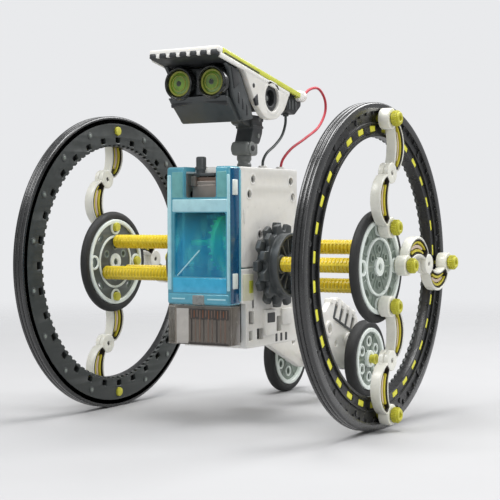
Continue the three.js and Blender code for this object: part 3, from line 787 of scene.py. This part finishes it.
# ------------------------------------------------------------------ frame
def build_main_frame():
    part = Piece(WHITE, DEEP, LIME, CREAM)
    upper = fillet([(-16, -0.5), (20, -0.5), (20, 31), (-16, 31)], 0.8, 3)
    lower = fillet([(-13.4, -26), (20, -26), (20, -0.9), (-16, -0.9), (-16, -11.8),
                    (-13.4, -11.8)], 0.7, 3)
    windows = [rectangle(-11.6, -8.4, -18.4, -14.4, 0.4), rectangle(-11.6, -9.4, -23.6, -20.6, 0.3),
               rectangle(-6.6, -2.6, -23.6, -20.2, 0.3), rectangle(6, 9, -22, -17, 0.4)]
    for s in (-1, 1):
        part.add(plate_x(s * 10.6, upper, holes_at(SCREWS, 1.25, 18), 2.0, 0.3, 3))
        part.add(plate_x(s * 10.7, lower, windows, 2.0, 0.3, 3))
        for y, z in SCREWS:             # collars round the screw holes
            part.add(tube(1.25, 1.95, s * 11.2, s * 11.68, 0.12, 2, 28, at=(0, y, z)))
            part.add(cyl(1.2, s * 9.9, s * 10.9, at=(0, y, z), n=16), DEEP)
        bearing = [(2.1, s * 9.7), (4.6, s * 9.7), (4.6, s * 12.6), (4.0, s * 13.2), (2.1, s * 13.2)]
        part.add(lathe(fillet(bearing, 0.3, 2), 48))
        for z in (3.6, 15.5):           # small upright ribs near the front edge
            part.add(box(*span(s, 11.4, 11.75), -14.6, -13.9, z - 2.2, z + 2.2, 0.1))
        part.add(box(*span(s, 11.9, 12.35), -12.2, -10.0, -8.6, -4.6, 0.25), LIME)
        part.add(box(*span(s, 11.2, 11.7), -9.8, -8.6, -13.6, -2.2, 0.2))
        part.add_boxes([                # dark backing inside the windows
            (*span(s, 8.9, 9.8), -12.5, -2.2, -24.5, -13.5, 0.1),
            (*span(s, 8.9, 9.8), 5.5, 9.6, -22.6, -16.4, 0.1)], DEEP)
    part.add(box(-11.5, 11.5, 17.7, 20, -25.8, 30.9, 0.6, 3))                  # back wall
    part.add(box(-11.4, 11.4, -13.2, 19.5, -25.95, -24.1, 0.4))                # floor
    for i in range(5):                                                         # back wall ribs
        part.add(box(-8 + i * 4 - 0.4, -8 + i * 4 + 0.4, 19.6, 20.0, 2, 26, 0.15))
    for s in (-1, 1):                   # stepped pads on the lower block
        part.add(box(*span(s, 11.4, 12.9), -3.2, 3.6, -22.6, -14.4, 0.35))
        part.add(box(*span(s, 12.6, 13.1), -2.2, 2.6, -18.6, -15.4, 0.2, 1), DEEP)
        part.add(box(*span(s, 11.4, 12.3), 8.8, 15.2, -20.0, -14.6, 0.3))
        part.add(box(*span(s, 11.4, 12.1), -15.5, -9.2, -10.9, -2.6, 0.3), CREAM)
        for k in range(3):
            y = 5.0 + k * 3.2
            part.add(box(*span(s, 11.4, 11.85), y, y + 1.2, -25.2, -22.6, 0.12, 1), DEEP)
    roof = fillet([(-11.5, -15.9), (11.5, -15.9), (11.5, 19.9), (-11.5, 19.9)], 0.6, 3)
    holes = [rectangle(-6, 6, -15.6, -8.8, 0.6)] + holes_at(LEAD_HOLES, 1.0, 16)
    part.add(plate_z(30.0, roof, holes, 2.0, 0.3, 3))
    for x, y in LEAD_HOLES:
        collar = [(0.85, 30.0), (1.6, 30.0), (1.4, 31.9), (0.85, 31.9)]
        part.add(lathe(fillet(collar, 0.15, 2), 24, "Z", (x, y, 0)))
    socket = [(2.7, 30.2), (4.1, 30.2), (3.9, 31.6), (2.7, 31.6)]
    part.add(lathe(fillet(socket, 0.2, 2), 40, "Z", (0, 5, 0)))
    part.fit("main_frame", "chassis", "white")


# ------------------------------------------------------------------ blue cover
def cut(ob, cutter):
    modifier = ob.modifiers.new("cut", "BOOLEAN")
    modifier.operation, modifier.object, modifier.solver = "DIFFERENCE", cutter, "EXACT"
    graph = bpy.context.evaluated_depsgraph_get()
    mesh = bpy.data.meshes.new_from_object(ob.evaluated_get(graph))
    ob.modifiers.clear()
    ob.data = mesh
    bpy.data.objects.remove(cutter)


def build_cover():
    part = Piece(BLUE, BLUE_HIGHLIGHT, SMOKY, PANE, BLUE_SIDE_SHADE, BRIGHT, AZURE_LIGHT, SEA_GREEN_LIGHT)
    shell = Piece().add(box(-11.7, 11.7, -23, -16.15, -12, 31, 0.9, 4)).make("shell")
    for opening in ((-10.3, 10.3, -21.6, -10, -10.6, 29.6, 0.5, 2),            # hollow, open behind
                    (-5.2, 6.8, -30, -10, 21.4, 40, 0.7, 3),                   # top notch
                    (-8.8, 10.3, -30, -19, -3.2, 16.7, 0.7, 3)):               # window
        cut(shell, Piece().add(box(*opening)).make("cutter"))
    mesh = shell.data
    verts = np.array([v.co for v in mesh.vertices]) * 1000 - AXLE
    part.add((verts, [list(f.vertices) for f in mesh.polygons]))
    # the outer side walls take a darker blue: painted shade
    side_shade_slot = part.materials.index(BLUE_SIDE_SHADE)
    part.slots = [side_shade_slot if abs(f.normal.x) > 0.9 and abs(f.center.x) > 0.0112 else 0
                  for f in mesh.polygons]
    bpy.data.objects.remove(shell)
    part.add(box(-9.2, 10.7, -22.4, -21.7, -3.6, 17.1, 0.2), PANE)
    part.add(box(-9.4, 10.9, -23.4, -22.2, 16.9, 20.9, 0.4, 3), BLUE_HIGHLIGHT)     # cross bar, its pale colour a painted highlight
    part.add(box(-11.2, 11.2, -23.35, -22.3, -11.6, -8.6, 0.4, 3))             # bottom ledge
    part.add_boxes([                                                           # painted highlights along the front edges
        (-11.3, -9.9, -23.3, -22.5, -7.5, 28.5, 0.3, 3),
        (10.75, 11.55, -23.3, -22.4, -7.5, 28.5, 0.3, 3)], BLUE_HIGHLIGHT)
    for s in (1, -1):                                                          # rear lips
        part.add(box(*span(s, 10.75, 11.75), -17.6, -16.3, -11, 30, 0.2))
    for z in (24.5, -4.5):                                                     # side clips
        for s in (-1, 1):
            clip = box(*span(s, 11.1, 12.05), -21.4, -18.6, z - 2.4, z + 2.4, 0.25)
            part.add(clip, BRIGHT)
    part.add(box(-1.9, 2.6, -23.55, -22.2, -11.9, -8.9, 0.4, 3), SMOKY)        # bottom catch
    strip = turn(box(-7.0, 4.5, -21.3, -20.7, -0.2, 0.2, 0.12), -44, "Y", (-1.2, 0, 0))
    part.add(move(strip, -2.6, -1.42, 1.0), BLUE_HIGHLIGHT)                         # slanting strip: painted reflection inside the window
    part.add(box(-9.3, 10.4, -23.16, -22.7, -8.2, -3.6, 0.25, 3), AZURE_LIGHT)       # under the window: brighter azure, painted light
    part.add_boxes([                                                           # beside the notch: paler sea green, painted light
        (-9.6, -5.5, -23.14, -22.7, 21.4, 29.4, 0.3, 3),
        (7.1, 10.6, -23.14, -22.7, 21.4, 29.4, 0.3, 3)], SEA_GREEN_LIGHT)
    part.add_boxes([                                                           # painted highlights on the ledge
        (-9.6, -4.6, -23.43, -23.1, -10.4, -9.9, 0.15),
        (3.6, 10.4, -23.43, -23.1, -10.4, -9.9, 0.15)], BLUE_HIGHLIGHT)
    part.fit("gearbox_cover", "chassis", "cover")


# ------------------------------------------------------------------ contact block
def build_base_block():
    part = Piece(SMOKE, WHITE, COPPER, SOOT, BROWN, END_CLEAR)
    opening = rectangle(-3.4, 10.2, -15.3, -13.4, 0.4)
    part.add(plate_y(-21.9, rectangle(-11.5, 11.5, -24.5, -12.3, 0.5), [opening], 1.2, 0.3, 3))
    part.add(box(-11.5, -8.6, -22.5, -16.4, -24.5, -12.4, 0.35), WHITE)
    part.add_boxes([                    # right wall, floor and top
        (9.9, 11.5, -21.3, -16.4, -24.5, -12.4, 0.35),
        (-11.0, 11.0, -21.3, -16.4, -24.5, -23.2, 0.3),
        (-11.0, 11.0, -21.3, -16.4, -13.6, -12.4, 0.3)])
    part.add(box(-9.6, 9.6, -20.0, -17.0, -22.8, -14.0, 0.3), SOOT)
    for i, x in enumerate((-6.8, -4.4, -1.2, 1.6, 4.2, 7.2)):                  # sprung contacts
        part.add(box(x, x + 0.8, -20.9, -20.2, -17.2 - 0.3 * (i % 2), -13.8, 0.15),
                 COPPER if i % 3 else SOOT)
        part.add(box(x - 0.4, x + 1.2, -21.2, -20.6, -16.0 - 0.4 * (i % 3), -15.2, 0.15),
                 COPPER if i % 2 else BROWN)
    for x in (-5.6, -3.6, 4.4, 6.6):
        part.add(box(x, x + 1.0, -20.9, -20.3, -22.2, -19.0, 0.15), BROWN)
    for x in (-8.0, -0.8, 2.4, 9.2):
        part.add(box(x, x + 0.45, -22.48, -22.0, -23.6, -18.0, 0.15))
    part.add(box(-3.4, 11.0, -22.58, -22.2, -16.5, -13.1, 0.25, 3), SOOT)      # upper strip
    for i in range(13):                                                        # blades on it
        x = -3.0 + i * 1.08
        bottom, top = -16.2 + 0.25 * (i % 3), -13.5 - 0.2 * (i % 2)
        part.add(box(x, x + 0.42, -22.68, -22.4, bottom, top, 0.14),
                 (BROWN, COPPER, BROWN, BROWN, COPPER)[i % 5])
    for i in range(9):                                                         # thin ribs below
        x = -3.0 + i * 1.55
        part.add(box(x, x + (0.3 if i % 2 else 0.5), -22.62, -22.3, -23.4, -16.2, 0.12),
                 BROWN if i % 3 else SOOT)
    part.add(box(-8.4, -3.8, -22.62, -22.2, -24.3, -13.2, 0.35), END_CLEAR)    # paler left end
    part.add(box(-8.0, 10.8, -22.6, -22.3, -24.4, -23.6, 0.2), SOOT)
    part.fit("base_block", "chassis", "grey")


# ------------------------------------------------------------------ tail
TAIL_OUTLINE = [        # y, z
    (20.3, -7), (20.3, -24), (57, -40), (62, -40.3), (66.5, -36.5), (71, -26), (68, -20),
    (54, -13.5), (48, -14.5), (43, -18.5), (34, -11)]


def build_tail_bracket():
    part = Piece(WHITE, PIN, DARK)
    slots = [slot_at(28 + i * 4.8, -17.6 - i * 1.9, 2.6, 5.4, -24, 0.5) for i in range(3)]
    slots += [slot_at(51.5 + i * 4.4, -18.6 - i * 1.9, 2.2, 5.6, -24, 0.5) for i in range(4)]
    holes = slots + holes_at(TAIL_EYES, 1.6, 24) + [circle(25, -12, 1.5, 20), circle(52, -30, 1.1, 18)]
    outline = fillet(TAIL_OUTLINE, 1.4, 4)
    for s in (-1, 1):
        x = s * 8.75
        part.add(plate_x(x, outline, holes, 2.3, 0.35, 3))
        boss = [(1.6, s * 9.4), (3.6, s * 9.4), (3.4, s * 13.5), (1.6, s * 13.5)]
        part.add(lathe(fillet(boss, 0.4, 2), 40, at=TAIL_AXLE))
        part.add(cyl(1.9, *span(s, 20.1, 21), at=TAIL_AXLE, n=28, edge=0.25), PIN)
        for y, z in TAIL_EYES:
            eye = [(1.6, s * 9.6), (2.9, s * 9.6), (2.8, s * 10.7), (1.6, s * 10.7)]
            part.add(lathe(fillet(eye, 0.2, 2), 36, at=(0, y, z)))
        for y0, y1, y, z in ((27.0, 39.5, 33, -19.6), (50.4, 66.0, 58, -21.6)):
            # painted shade: dark webs behind the slots
            web = box(s * 8.3 - 1.1, s * 8.3 + 1.1, y0, y1, z - 3.0, z + 3.0, 0.25)
            part.add(turn(web, -21.5, at=(0, y, z)), DARK)
        for i in range(5):              # ribbed upper edge
            y, z = 48.6 + i * 4.3, -14.6 - max(0, i - 1) * 1.75
            rib = box(x - 1.6, x + 1.6, y - 0.9, y + 0.9, z - 1.0, z + 0.9, 0.25)
            part.add(turn(rib, -22, at=(0, y, z)))
        line = box(*span(s, 9.8, 10.3), 50, 66, -24.4, -23.6, 0.15)
        part.add(turn(line, -22, at=(0, 58, -24)), DARK)
    part.add(box(-9.8, 9.8, 20.35, 22.6, -23.6, -7.3, 0.5))
    part.add(box(-8, 8, 36.1, 38.4, -27, -21.2, 0.5))
    part.add(cyl(1.5, -21, 21, at=TAIL_AXLE, n=28), PIN)
    part.add(cyl(2.6, -8, 8, at=TAIL_AXLE, n=28))
    part.fit("tail_bracket", "chassis", "white")


def tail_disc():
    part = Piece(HUB, BRIGHT)
    bosses = [polar(6.4, a) for a in range(30, 390, 60)]
    part.add(plate_x(16.6, disc(10.4, 64), [disc(1.62, 20)] + holes_at(bosses, 1.35, 18), 2.0, 0.2))
    part.add(tube(9.7, 11.2, 14.2, 18.9, 0.35, 3, 80), BRIGHT)
    part.add(tube(1.62, 3.1, 14.3, 18.9, 0.3, 3, 36), BRIGHT)
    for y, z in bosses:
        part.add(cyl(1.95, 15.2, 18.2, at=(0, y, z), n=22, bore=1.36), BRIGHT)
    part.add_round(box(15.4, 17.9, 3.0, 9.8, -0.35, 0.35, 0.12), range(0, 360, 60))
    return part.moved(*TAIL_AXLE)


def build_tail_wheels():
    wheel = tail_disc()
    profile = [(11.4, 14.4), (12.9, 14.4), (13.7, 15.0), (14.0, 15.9),
               (14.0, 17.1), (13.7, 18.0), (12.9, 18.6), (11.4, 18.6)]
    tyre = Piece(RUBBER).add(lathe(fillet(profile, 0.4, 3), 80, at=TAIL_AXLE))
    for side, tag in SIDES:
        wheel.sided(side).fit(f"tail_disc_{tag}", f"tail_wheel_{tag}", "hub")
        tyre.sided(side).fit(f"tail_tyre_{tag}", f"tail_wheel_{tag}", "band")


# ------------------------------------------------------------------ neck
def build_neck():
    part = Piece(DARK, NECK_GREY, DEEP)
    stalk = [(1e-4, 31.3), (2.3, 31.3), (2.4, 32.6), (2.05, 33.0),
             (2.05, 33.6), (2.4, 34.0), (2.4, 36.4), (1e-4, 36.4)]
    part.add(lathe(fillet(stalk, 0.25, 3), 40, "Z", (0, 5, 0)), NECK_GREY)
    part.add(box(-3.2, 3.2, 1.5, 9.0, 35.4, 40.0, 1.1, 4), NECK_GREY)
    joint = (0, 4.4, 37.8)
    part.add(cyl(2.2, -3.6, 3.6, at=joint, n=36, edge=0.5), NECK_GREY)
    part.add(cyl(1.0, -3.9, 3.9, at=joint, n=20), DEEP)
    link = [(3.6, 39.2), (9.6, 39.2), (11.8, 43.2), (11.6, 48.6), (4.6, 48.6), (5.6, 44.2)]
    part.add(plate_x(0, fillet(link, 1.2, 4), [], 6.4, 0.5, 3))
    part.add(box(-3.45, 3.45, 5.2, 11.9, 44.4, 45.4, 0.3))
    part.add(box(-3.5, 3.5, 4.4, 11.9, 46.6, 48.7, 0.5, 3), DEEP)
    bracket = [(-2.0, 50.0), (0.5, 45.6), (6.0, 44.4), (6.4, 48.5), (4.5, 54.5), (-1.0, 54.5)]
    part.add(plate_x(0, fillet(bracket, 1.0, 4), [], 4.6, 0.4, 3))
    for k in range(2):
        pin_at = (0, 8.6 + k * 0.6, 42.0 + k * 5.6)
        part.add(cyl(0.8, -3.55, 3.55, at=pin_at, n=18, edge=0.15), NECK_GREY)
    # cross barrel that carries the head
    barrel = [(2.6, -11.9), (4.15, -11.9), (4.15, -7), (4.15, 7), (4.15, 11.9), (2.6, 11.9)]
    part.add(lathe(fillet(barrel, 0.35, 3), 64, at=NECK_TOP), DEEP)
    part.add(cyl(2.7, -10.0, 10.0, at=NECK_TOP, n=40), DEEP)
    for s in (-1, 1):
        part.add(cyl(0.9, *span(s, 9.8, 10.6), at=NECK_TOP, n=20), NECK_GREY)
    part.fit("neck", "neck", "dark")


# ------------------------------------------------------------------ head
def roof_box(*bounds):
    """A box in roof space: x, along the roof towards the back, above the roof."""
    verts, faces = box(*bounds)
    x, along, above = verts.T
    return np.c_[x, ROOF_Y + along * ROOF_COS + above * ROOF_SIN,
                 ROOF_Z - along * ROOF_SIN + above * ROOF_COS], faces


def roof_z(y):
    return ROOF_Z - (y - ROOF_Y) * ROOF_SLOPE


def build_head_shell():
    part = Piece(WHITE, DEEP)
    part.add(roof_box(-12.5, 12.5, 2.4, 45.4, -2.85, -1.9, 0.25, 3))                 # roof deck
    part.add(roof_box(-ROOF_HALF, ROOF_HALF, 0.0, 2.85, -2.0, -0.15, 0.35, 3))       # front lip
    part.add(roof_box(-12.3, 12.3, 0.7, 13.5, -3.05, -2.0, 0.25), DEEP)              # underside, dark: painted shade
    for i in range(7):                                                         # notched front edge, its dark blocks painted shade
        x = -11.2 + i * 3.73
        part.add(roof_box(x - 1.15, x + 1.15, -0.12, 3.0, -2.9, -1.3, 0.3), DEEP)
        if i < 6:
            part.add(roof_box(x + 1.25, x + 2.48, 0.0, 2.2, -2.8, -1.5, 0.2))
    for x in (-12.2, 12.2):                                                    # side curbs
        part.add(roof_box(x - 0.38, x + 0.38, 1.6, 45.2, -3.3, -1.75, 0.2))
    for k in range(5):                                                         # ribs under the deck
        part.add(roof_box(-9.5, 9.5, 34 + k * 2.2, 34.7 + k * 2.2, -3.4, -2.7, 0.15))
    ear = fillet([(-18.5, roof_z(-18.5) - 2.4), (-15.2, 60.6), (-9.0, 51.4), (-3.6, 47.1),
                  (0, 46.3), (5, 46.9), (10, 50.0), (13.5, roof_z(13.5) - 2.4)], 1.8, 4)
    tab = fillet([(-9.8, 52.6), (-8.2, 50.2), (-7.0, 50.6), (-7.6, 54.2)], 0.4, 2)
    for s in (-1, 1):
        part.add(plate_x(s * 11.5, ear, [circle(*NECK_TOP[1:], 4.4, 48)], 2.1, 0.4, 3))
        collar = [(4.38, s * 11.2), (5.9, s * 11.2), (5.7, s * 12.58), (4.38, s * 12.58)]
        part.add(lathe(fillet(collar, 0.3, 3), 64, at=NECK_TOP))
        part.add(cyl(0.8, *span(s, 12.1, 12.59), at=(0, -9.8, 56.5), n=16, edge=0.15), DEEP)
        part.add(plate_x(s * 12.35, tab, [], 0.7, 0.12), DEEP)
    part.fit("head_shell", "head", "white")


def build_head_face():
    part = Piece(DARK, DEEP)
    face = fillet([(-21.0, roof_z(-21) - 3.3), (-21.0, 52.0), (-14.4, 45.2), (-8.2, 46.0),
                   (-7.6, 56), (-10, roof_z(-10) - 3.3)], 0.9, 4)
    part.add(plate_x(0, face, [], 19.6, 0.5, 3))
    cheek = fillet([(-24.6, roof_z(-24.6) - 3.3), (-22.4, 60.0), (-20.6, 52.6), (-14.6, 45.2),
                    (-8.4, 46.2), (-10.4, 51.4), (-16.6, 60.4),
                    (-17.0, roof_z(-17.0) - 3.4)], 0.8, 3)
    inlay = fillet([(-21.8, 61.2), (-20.0, 54.6), (-16.8, 56.5), (-18.6, 61.0)], 0.6, 3)
    for s in (-1, 1):                   # cheek plates with a stepped edge
        part.add(plate_x(s * 10.9, cheek, [], 1.3, 0.3))
        part.add(plate_x(s * 11.5, inlay, [], 0.6, 0.15), DEEP)
        for i in range(3):
            y, drop, x = -17.6 + i * 2.5, i * 1.7, s * 11.45
            part.add(box(x - 0.3, x + 0.3, y, y + 0.8, 50.4 - drop, 53.8 - drop, 0.15), DEEP)
    sill = [(-23.6, 52.6), (-22.4, 51.0), (-15.6, 44.9), (-13.6, 45.4), (-20.6, 52.2)]
    part.add(plate_x(0, fillet(sill, 0.4, 3), [], 21.0, 0.3))
    for k in range(3):                  # creases across the jaw
        t = 0.3 + 0.24 * k
        y, z = -21.4 + 7.0 * t, 52.0 - 6.8 * t
        crease = box(-9.6, 9.6, y - 1.9, y - 0.9, z - 0.3, z + 0.3, 0.2)
        part.add(turn(crease, -42, at=(0, y, z)), DEEP)
    for s in (-1, 1):                   # sloping folds below the lenses
        x = s * EYE_X
        fold = box(x - 4.4, x + 4.4, -22.4, -20.8, 50.2, 51.4, 0.35)
        part.add(turn(fold, s * 9, "Y", (x, 0, 50.8)), DEEP)
    part.add(box(-1.0, 1.0, -22.2, -20.6, 53.0, 60.8, 0.4, 3))                 # between the lenses
    part.fit("head_face", "head", "dark")


def build_eyes():
    bezel = fillet([(3.9, -0.1), (4.9, -0.1), (5.2, -0.9), (5.2, -2.9), (4.9, -3.6),
                    (4.45, -3.6), (4.2, -2.7), (3.9, -2.3)], 0.25, 3)
    top = math.pi / 2 - 0.02            # the domes stop just short of the middle
    dome = [(1e-4, -1.0), (3.8, -1.0), (3.8, -1.8)]
    dome += [(3.8 * math.cos(t), -1.8 - 1.2 * math.sin(t)) for t in np.linspace(0.12, top, 12)]
    dome.append((1e-4, -3.0))
    core = [(1.05 * math.cos(t), -2.76 - 0.38 * math.sin(t)) for t in np.linspace(0, top, 8)]
    core = [(1e-4, -2.4)] + core + [(1e-4, -3.14)]
    for side, tag in SIDES:
        at = (side * EYE_X, -21.3, 56.8)
        part = Piece(BEZEL, LENS_RING, LENS, LENS_CORE)
        part.add(lathe(bezel, 72, "Y", at))
        part.add(tube(3.35, 3.95, -1.7, -2.75, 0.15, 2, 64, "Y", at), LENS_RING)
        part.add(lathe(dome, 64, "Y", at), LENS)
        part.add(tube(2.2, 2.5, -2.5, -2.98, 0.1, 2, 48, "Y", at), LENS_RING)
        part.add(lathe(core, 40, "Y", at), LENS_CORE)
        part.fit(f"eye_{tag}", "head", "lens")


def build_solar_panel():
    """Yellow tray, dark cells between metal lines, terminal box, white plug."""
    part = Piece(TRAY, CELL, GRID, WHITE, DEEP, DARK)
    for x in (-12.1, 12.1):
        part.add(roof_box(x - 0.5, x + 0.5, PANEL_START, PANEL_END, -1.65, 0.0, 0.2))
    for start in (PANEL_START, PANEL_END - 1.0):
        part.add(roof_box(-12.4, 12.4, start, start + 1.0, -1.65, 0.0, 0.2))
    part.add(roof_box(-11.9, 11.9, PANEL_START + 0.4, PANEL_END - 0.4, -1.6, -0.8, 0.15, 1), DEEP)
    for i in range(6):
        for j in range(2):
            start = PANEL_START + 1.4 + i * 7.8
            x = -11.4 + j * 11.5
            part.add(roof_box(x, x + 11.2, start, start + 7.5, -0.9, -0.45, 0.12, 1), CELL)
            for k in range(1, 6):
                line = start + k * 1.25
                part.add(roof_box(x + 0.3, x + 10.9, line - 0.05, line + 0.05,
                                  -0.47, -0.41, 0.02, 1), GRID)
            for across in (3.5, 7.7):
                part.add(roof_box(x + across - 0.16, x + across + 0.16, start, start + 7.5,
                                  -0.47, -0.39, 0.03, 1), GRID)
    # painted shadow: dark line in the gap along the panel's right edge
    part.add(roof_box(12.5, 12.66, PANEL_START + 0.6, PANEL_START + 22, -1.6, -1.2, 0.05, 1), DEEP)
    terminal_box = [(14.4, roof_z(14.4) - 1.7), (14.4, 50.8), (20, 49.3), (24.4, 52.5),
                    (24.4, 54.8), (20.5, 56.0)]
    part.add(plate_x(8.15, fillet(terminal_box, 0.7, 3), [], 5.2, 0.4, 3), DEEP)
    for i in range(3):
        part.add(box(10.5, 10.95, 15.6 + i * 2.2, 16.6 + i * 2.2, 51.0, 54.2, 0.12), DARK)
    part.add(box(7.4, 12.2, 20.4, 24.6, 54.0, 57.6, 0.9, 4), WHITE)
    plug = (9.8, 0, 56.0)
    part.add(cyl(1.9, 23.8, 27.2, "Y", plug, n=28, edge=0.5), WHITE)
    part.add(cyl(1.2, 26.6, 27.4, "Y", plug, n=24), WHITE)
    part.add(cyl(1.0, 48.9, 51.2, "Z", (7.8, 19.0, 0), n=24, edge=0.3), DARK)
    part.fit("solar_panel", "head", "panel")


# ------------------------------------------------------------------ leads
LEAD_R, LEAD_SIDES, LEAD_RINGS = 0.45, 12, 120
RED_PATH = [            # x, y, z from the plug down to the frame
    (9.8, 27.2, 56.0), (10.4, 31.2, 58.8), (11.2, 36, 59.4), (11.6, 40, 56), (11.5, 40.6, 52),
    (11.2, 36.4, 46.5), (10.4, 28, 42), (9, 20, 37.8), (8.2, 15.8, 33.8), (8, 15, 30.9)]
BLACK_PATH = [          # x, y, z from the panel's terminal box down to the frame
    (7.8, 19, 49.2), (7.8, 18.8, 46.5), (7.9, 16.4, 42.5), (8, 11.5, 39), (8, 5.6, 35.8),
    (8, 3.5, 33.2), (8, 3.5, 30.9)]


def smooth_path(points, count):
    """A centripetal Catmull-Rom curve through the points."""
    points = np.array(points, float)
    steps = np.linalg.norm(np.diff(points, axis=0), axis=1) ** 0.5
    knots = np.r_[0, np.cumsum(steps)]
    ends = np.vstack([2 * points[0] - points[1], points, 2 * points[-1] - points[-2]])
    times = np.r_[2 * knots[0] - knots[1], knots, 2 * knots[-1] - knots[-2]]
    path = []
    for now in np.linspace(0, knots[-1], count):
        first = min(max(np.searchsorted(knots, now, "right") - 1, 0), len(points) - 2)
        level, t = ends[first:first + 4], times[first:first + 4]
        for reach, offset in ((1, 0), (2, 0), (1, 1)):
            # each round blends neighbours; the last one spans the middle knots
            level = [((t[k + offset + reach] - now) * level[k]
                      + (now - t[k + offset]) * level[k + 1])
                     / (t[k + offset + reach] - t[k + offset]) for k in range(len(level) - 1)]
        path.append(level[0])
    return np.array(path)


def sweep_rings(points):
    """Rings of points round a smooth path, with the least twist from one to the next."""
    path = smooth_path(points, LEAD_RINGS)
    along = np.gradient(path, axis=0)
    along /= np.linalg.norm(along, axis=1)[:, None]
    u = np.cross(along[0], [1, 0, 0])
    rings = []
    for center, d in zip(path, along):
        u = u - d * (u @ d)
        u /= np.linalg.norm(u)
        w = np.cross(d, u)
        turns = [2 * math.pi * k / LEAD_SIDES for k in range(LEAD_SIDES)]
        rings.append([center + LEAD_R * (math.cos(a) * u + math.sin(a) * w) for a in turns])
    return np.array(rings)


def build_lead(node, path, joint, material):
    """Two lengths that meet on the neck, a fraction `joint` of the way down."""
    rings = sweep_rings(path)
    cut_at = int(joint * (LEAD_RINGS - 1))
    n = LEAD_SIDES
    for length, start, end, bodies in (("upper", 0, cut_at + 1, ("neck", "head")),
                                       ("lower", cut_at, LEAD_RINGS, ("chassis", "neck"))):
        count = end - start
        faces = [[i * n + j, i * n + (j + 1) % n, (i + 1) * n + (j + 1) % n, (i + 1) * n + j]
                 for i in range(count - 1) for j in range(n)]
        faces += [list(range(n))[::-1], [(count - 1) * n + j for j in range(n)]]
        part = Piece(material).add((rings[start:end].reshape(-1, 3), faces))
        ob = part.make(f"vis_{node}_{length}")
        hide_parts(node)
        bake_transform(ob)


# ------------------------------------------------------------------ floor, light, camera
FLOOR_RADII = (0.12, 0.3, 0.6, 1.0, 1.6, 2.4)       # metres
FLOOR_SIDES = 96


def floor_material():
    """Pale grey that fades out away from the robot."""
    material, tree = new_tree("floor_pale")
    place = add_node(tree, "TexCoord", {}).outputs["Object"]
    distance = add_node(tree, "VectorMath", {0: place}, operation="LENGTH").outputs["Value"]
    fade = map_range(tree, distance, 0.16, 0.62, interpolation_type="SMOOTHSTEP")
    noise = add_node(tree, "TexNoise", {"Scale": 30, "Vector": place}).outputs[0]
    color = mix_color(tree, noise, srgb(176, 176, 177), srgb(180, 180, 181))
    inputs = {"Base Color": color, "Roughness": 0.7, "Specular IOR Level": 0.2}
    surface = add_node(tree, "BsdfPrincipled", inputs).outputs[0]
    nothing = add_node(tree, "BsdfTransparent", {}).outputs[0]
    add_node(tree, "OutputMaterial", {0: mix_shader(tree, fade, surface, nothing)})
    return material


def build_floor():
    mesh = bpy.data.meshes.new("floor")
    n = FLOOR_SIDES
    verts, faces = [(0, 0, 0)], []
    for r in FLOOR_RADII:
        verts += [(x, y, 0) for x, y in disc(r, n)]
    for i in range(n):
        j = (i + 1) % n
        faces.append([0, 1 + i, 1 + j])
        for k in range(len(FLOOR_RADII) - 1):
            a, b = 1 + k * n, 1 + (k + 1) * n
            faces.append([a + i, b + i, b + j, a + j])
    mesh.from_pydata(verts, [], faces)
    ob = bpy.data.objects.new("floor", mesh)
    bpy.context.scene.collection.objects.link(ob)
    mesh.materials.append(floor_material())


def build_world():
    """A pale backdrop that lights the robot at half the strength it shows."""
    world = bpy.data.worlds.new("studio")
    bpy.context.scene.world = world
    world.use_nodes = True
    tree = world.node_tree
    background = tree.nodes["Background"]
    background.inputs[0].default_value = srgb(233, 234, 236)
    is_camera = add_node(tree, "LightPath", {}).outputs["Is Camera Ray"]
    tree.links.new(map_range(tree, is_camera, 0, 1, 0.5, 1.0), background.inputs[1])


def softbox(name, at, size, power):
    """A rectangular light aimed at the robot; metres and watts."""
    light = bpy.data.lights.new(name, "AREA")
    light.shape = "RECTANGLE"
    light.size, light.size_y = size
    light.energy = power
    ob = bpy.data.objects.new(name, light)
    bpy.context.scene.collection.objects.link(ob)
    ob.location = at
    direction = Vector((0, -0.01, 0.05)) - Vector(at)
    ob.rotation_euler = direction.to_track_quat("-Z", "Y").to_euler()


CAMERA_AT = (216.58, -353.11, 15.42)                # mm from the axle: front right, just above
CAMERA_TURN = Vector((1.50884, 0.43212, 0.43507))   # axis times angle, before re-aiming
CAMERA_AIM = (0.01523229, -0.00856816, -1.0)        # new view direction in the turned camera
CAMERA_LENS = 91.510848                             # mm


def build_camera():
    rotation = np.array(Matrix.Rotation(CAMERA_TURN.length, 3, CAMERA_TURN.normalized()))
    forward = Vector(rotation @ np.array([0, 0, -1.0]))
    aim = Vector(rotation @ np.array(CAMERA_AIM)).normalized()
    rotation = np.array(forward.rotation_difference(aim).to_matrix()) @ rotation
    camera = bpy.data.cameras.new("camera")
    ob = bpy.data.objects.new("camera", camera)
    bpy.context.scene.collection.objects.link(ob)
    camera.sensor_width = 36
    camera.lens = CAMERA_LENS
    camera.clip_start, camera.clip_end = 0.01, 20
    matrix = Matrix(rotation.tolist()).to_4x4()
    matrix.translation = Vector(to_frame(CAMERA_AT))
    ob.matrix_world = matrix
    bpy.context.scene.camera = ob
    bpy.context.scene.view_settings.view_transform = "Standard"


# ------------------------------------------------------------------ build, in object order
build_wheels()
build_output_axle()
build_crown_gear()
build_motor_pinion()
build_motor()
build_main_frame()
build_cover()
build_base_block()
build_tail_bracket()
build_tail_wheels()
build_neck()
build_head_shell()
build_head_face()
build_eyes()
build_solar_panel()
build_lead("wire_red", RED_PATH, 0.55, RED)
build_lead("wire_black", BLACK_PATH, 0.45, BLACK)
build_floor()
build_world()
softbox("key", at=(-0.3, -0.45, 0.8), size=(0.4, 0.4), power=4.0)
softbox("top", at=(0.05, 0.02, 0.7), size=(0.35, 0.35), power=4.4)
softbox("fill", at=(0.75, -0.45, 0.35), size=(0.5, 0.6), power=2.0)
softbox("rim", at=(0.4, 0.6, 0.6), size=(0.5, 0.4), power=5.0)
build_camera()
